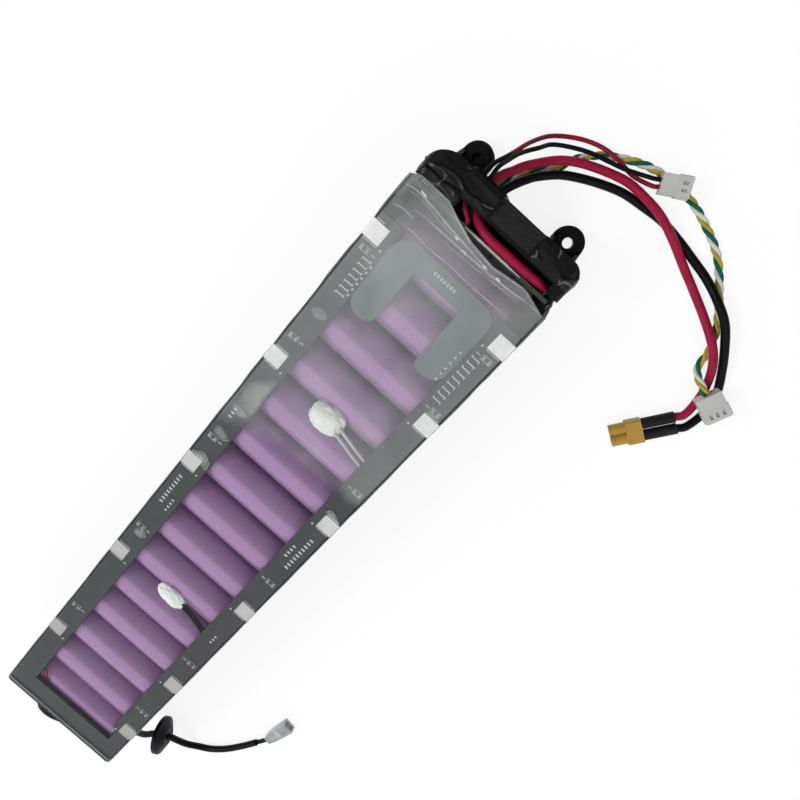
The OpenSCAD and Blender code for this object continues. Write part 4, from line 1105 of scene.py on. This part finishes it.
def floor_piece():
    me = bpy.data.meshes.new("floor")
    s = FLOOR_HALF
    me.from_pydata([(-s, -s, 0), (s, -s, 0), (s, s, 0), (-s, s, 0)], [], [(0, 1, 2, 3)])
    floor = bpy.data.objects.new("floor", me)
    bpy.context.scene.collection.objects.link(floor)
    m = Mat("floor_pale", (0.9, 0.9, 0.9, 1), rough=0.9, spec=0.0)
    path = m.new("ShaderNodeLightPath")
    white_out = m.new("ShaderNodeEmission")
    white_out.inputs["Strength"].default_value = FLOOR_GLOW
    indirect = m.math("MAXIMUM", path.outputs["Is Glossy Ray"], path.outputs["Is Transmission Ray"])
    seen = m.math("MAXIMUM", path.outputs["Is Camera Ray"], indirect)
    lift = m.new("ShaderNodeMixShader")
    m.surface(m.feed(lift, m.math("MULTIPLY", seen, FLOOR_LIFT), m.b.outputs[0],
                     white_out.outputs[0]))
    me.materials.append(m.m)


def room():
    world = bpy.data.worlds.new("world")
    world.use_nodes = True
    bpy.context.scene.world = world
    tree = world.node_tree
    coords = tree.nodes.new("ShaderNodeTexCoord")
    split = tree.nodes.new("ShaderNodeSeparateXYZ")
    half = tree.nodes.new("ShaderNodeMath")
    half.operation = "MULTIPLY_ADD"
    half.inputs[1].default_value = 0.5
    half.inputs[2].default_value = 0.5
    ramp = tree.nodes.new("ShaderNodeValToRGB")
    stops = ramp.color_ramp.elements
    while len(stops) < len(ROOM):
        stops.new(0.5)
    for stop, (place, value) in zip(stops, ROOM):
        stop.position = place
        stop.color = (value, value, value, 1)
    tree.links.new(coords.outputs["Generated"], split.inputs[0])
    tree.links.new(split.outputs["X"], half.inputs[0])
    tree.links.new(half.outputs[0], ramp.inputs["Fac"])
    # Seen directly or through clear parts, the room is a plain white wall. Glossy rays keep
    # its bright and its dark half, because these give the cells their two tones.
    path = tree.nodes.new("ShaderNodeLightPath")
    direct = tree.nodes.new("ShaderNodeMath")
    direct.operation = "MAXIMUM"
    tree.links.new(path.outputs["Is Camera Ray"], direct.inputs[0])
    tree.links.new(path.outputs["Is Transmission Ray"], direct.inputs[1])
    plain = tree.nodes.new("ShaderNodeMixRGB")
    plain.inputs[2].default_value = (1, 1, 1, 1)
    tree.links.new(direct.outputs[0], plain.inputs[0])
    tree.links.new(ramp.outputs["Color"], plain.inputs[1])
    tree.links.new(plain.outputs[0], tree.nodes["Background"].inputs["Color"])
    tree.nodes["Background"].inputs["Strength"].default_value = 1.0


def area(name, place, target, size, power):
    data = bpy.data.lights.new(name, "AREA")
    data.shape = "SQUARE"
    data.size = size
    data.energy = power
    o = bpy.data.objects.new(name, data)
    o.location = place
    d = Vector(target) - Vector(place)
    o.rotation_euler = d.to_track_quat("-Z", "Y").to_euler()
    bpy.context.scene.collection.objects.link(o)


floor_piece()
room()
area("key", (-0.3, 0.6, 0.85), (0, 0, 0), 0.22, 3.5)
area("fill", (0.2, -0.7, 0.9), (0.05, 0, 0), 0.8, 1.5)
bpy.context.scene.view_settings.view_transform = "Standard"
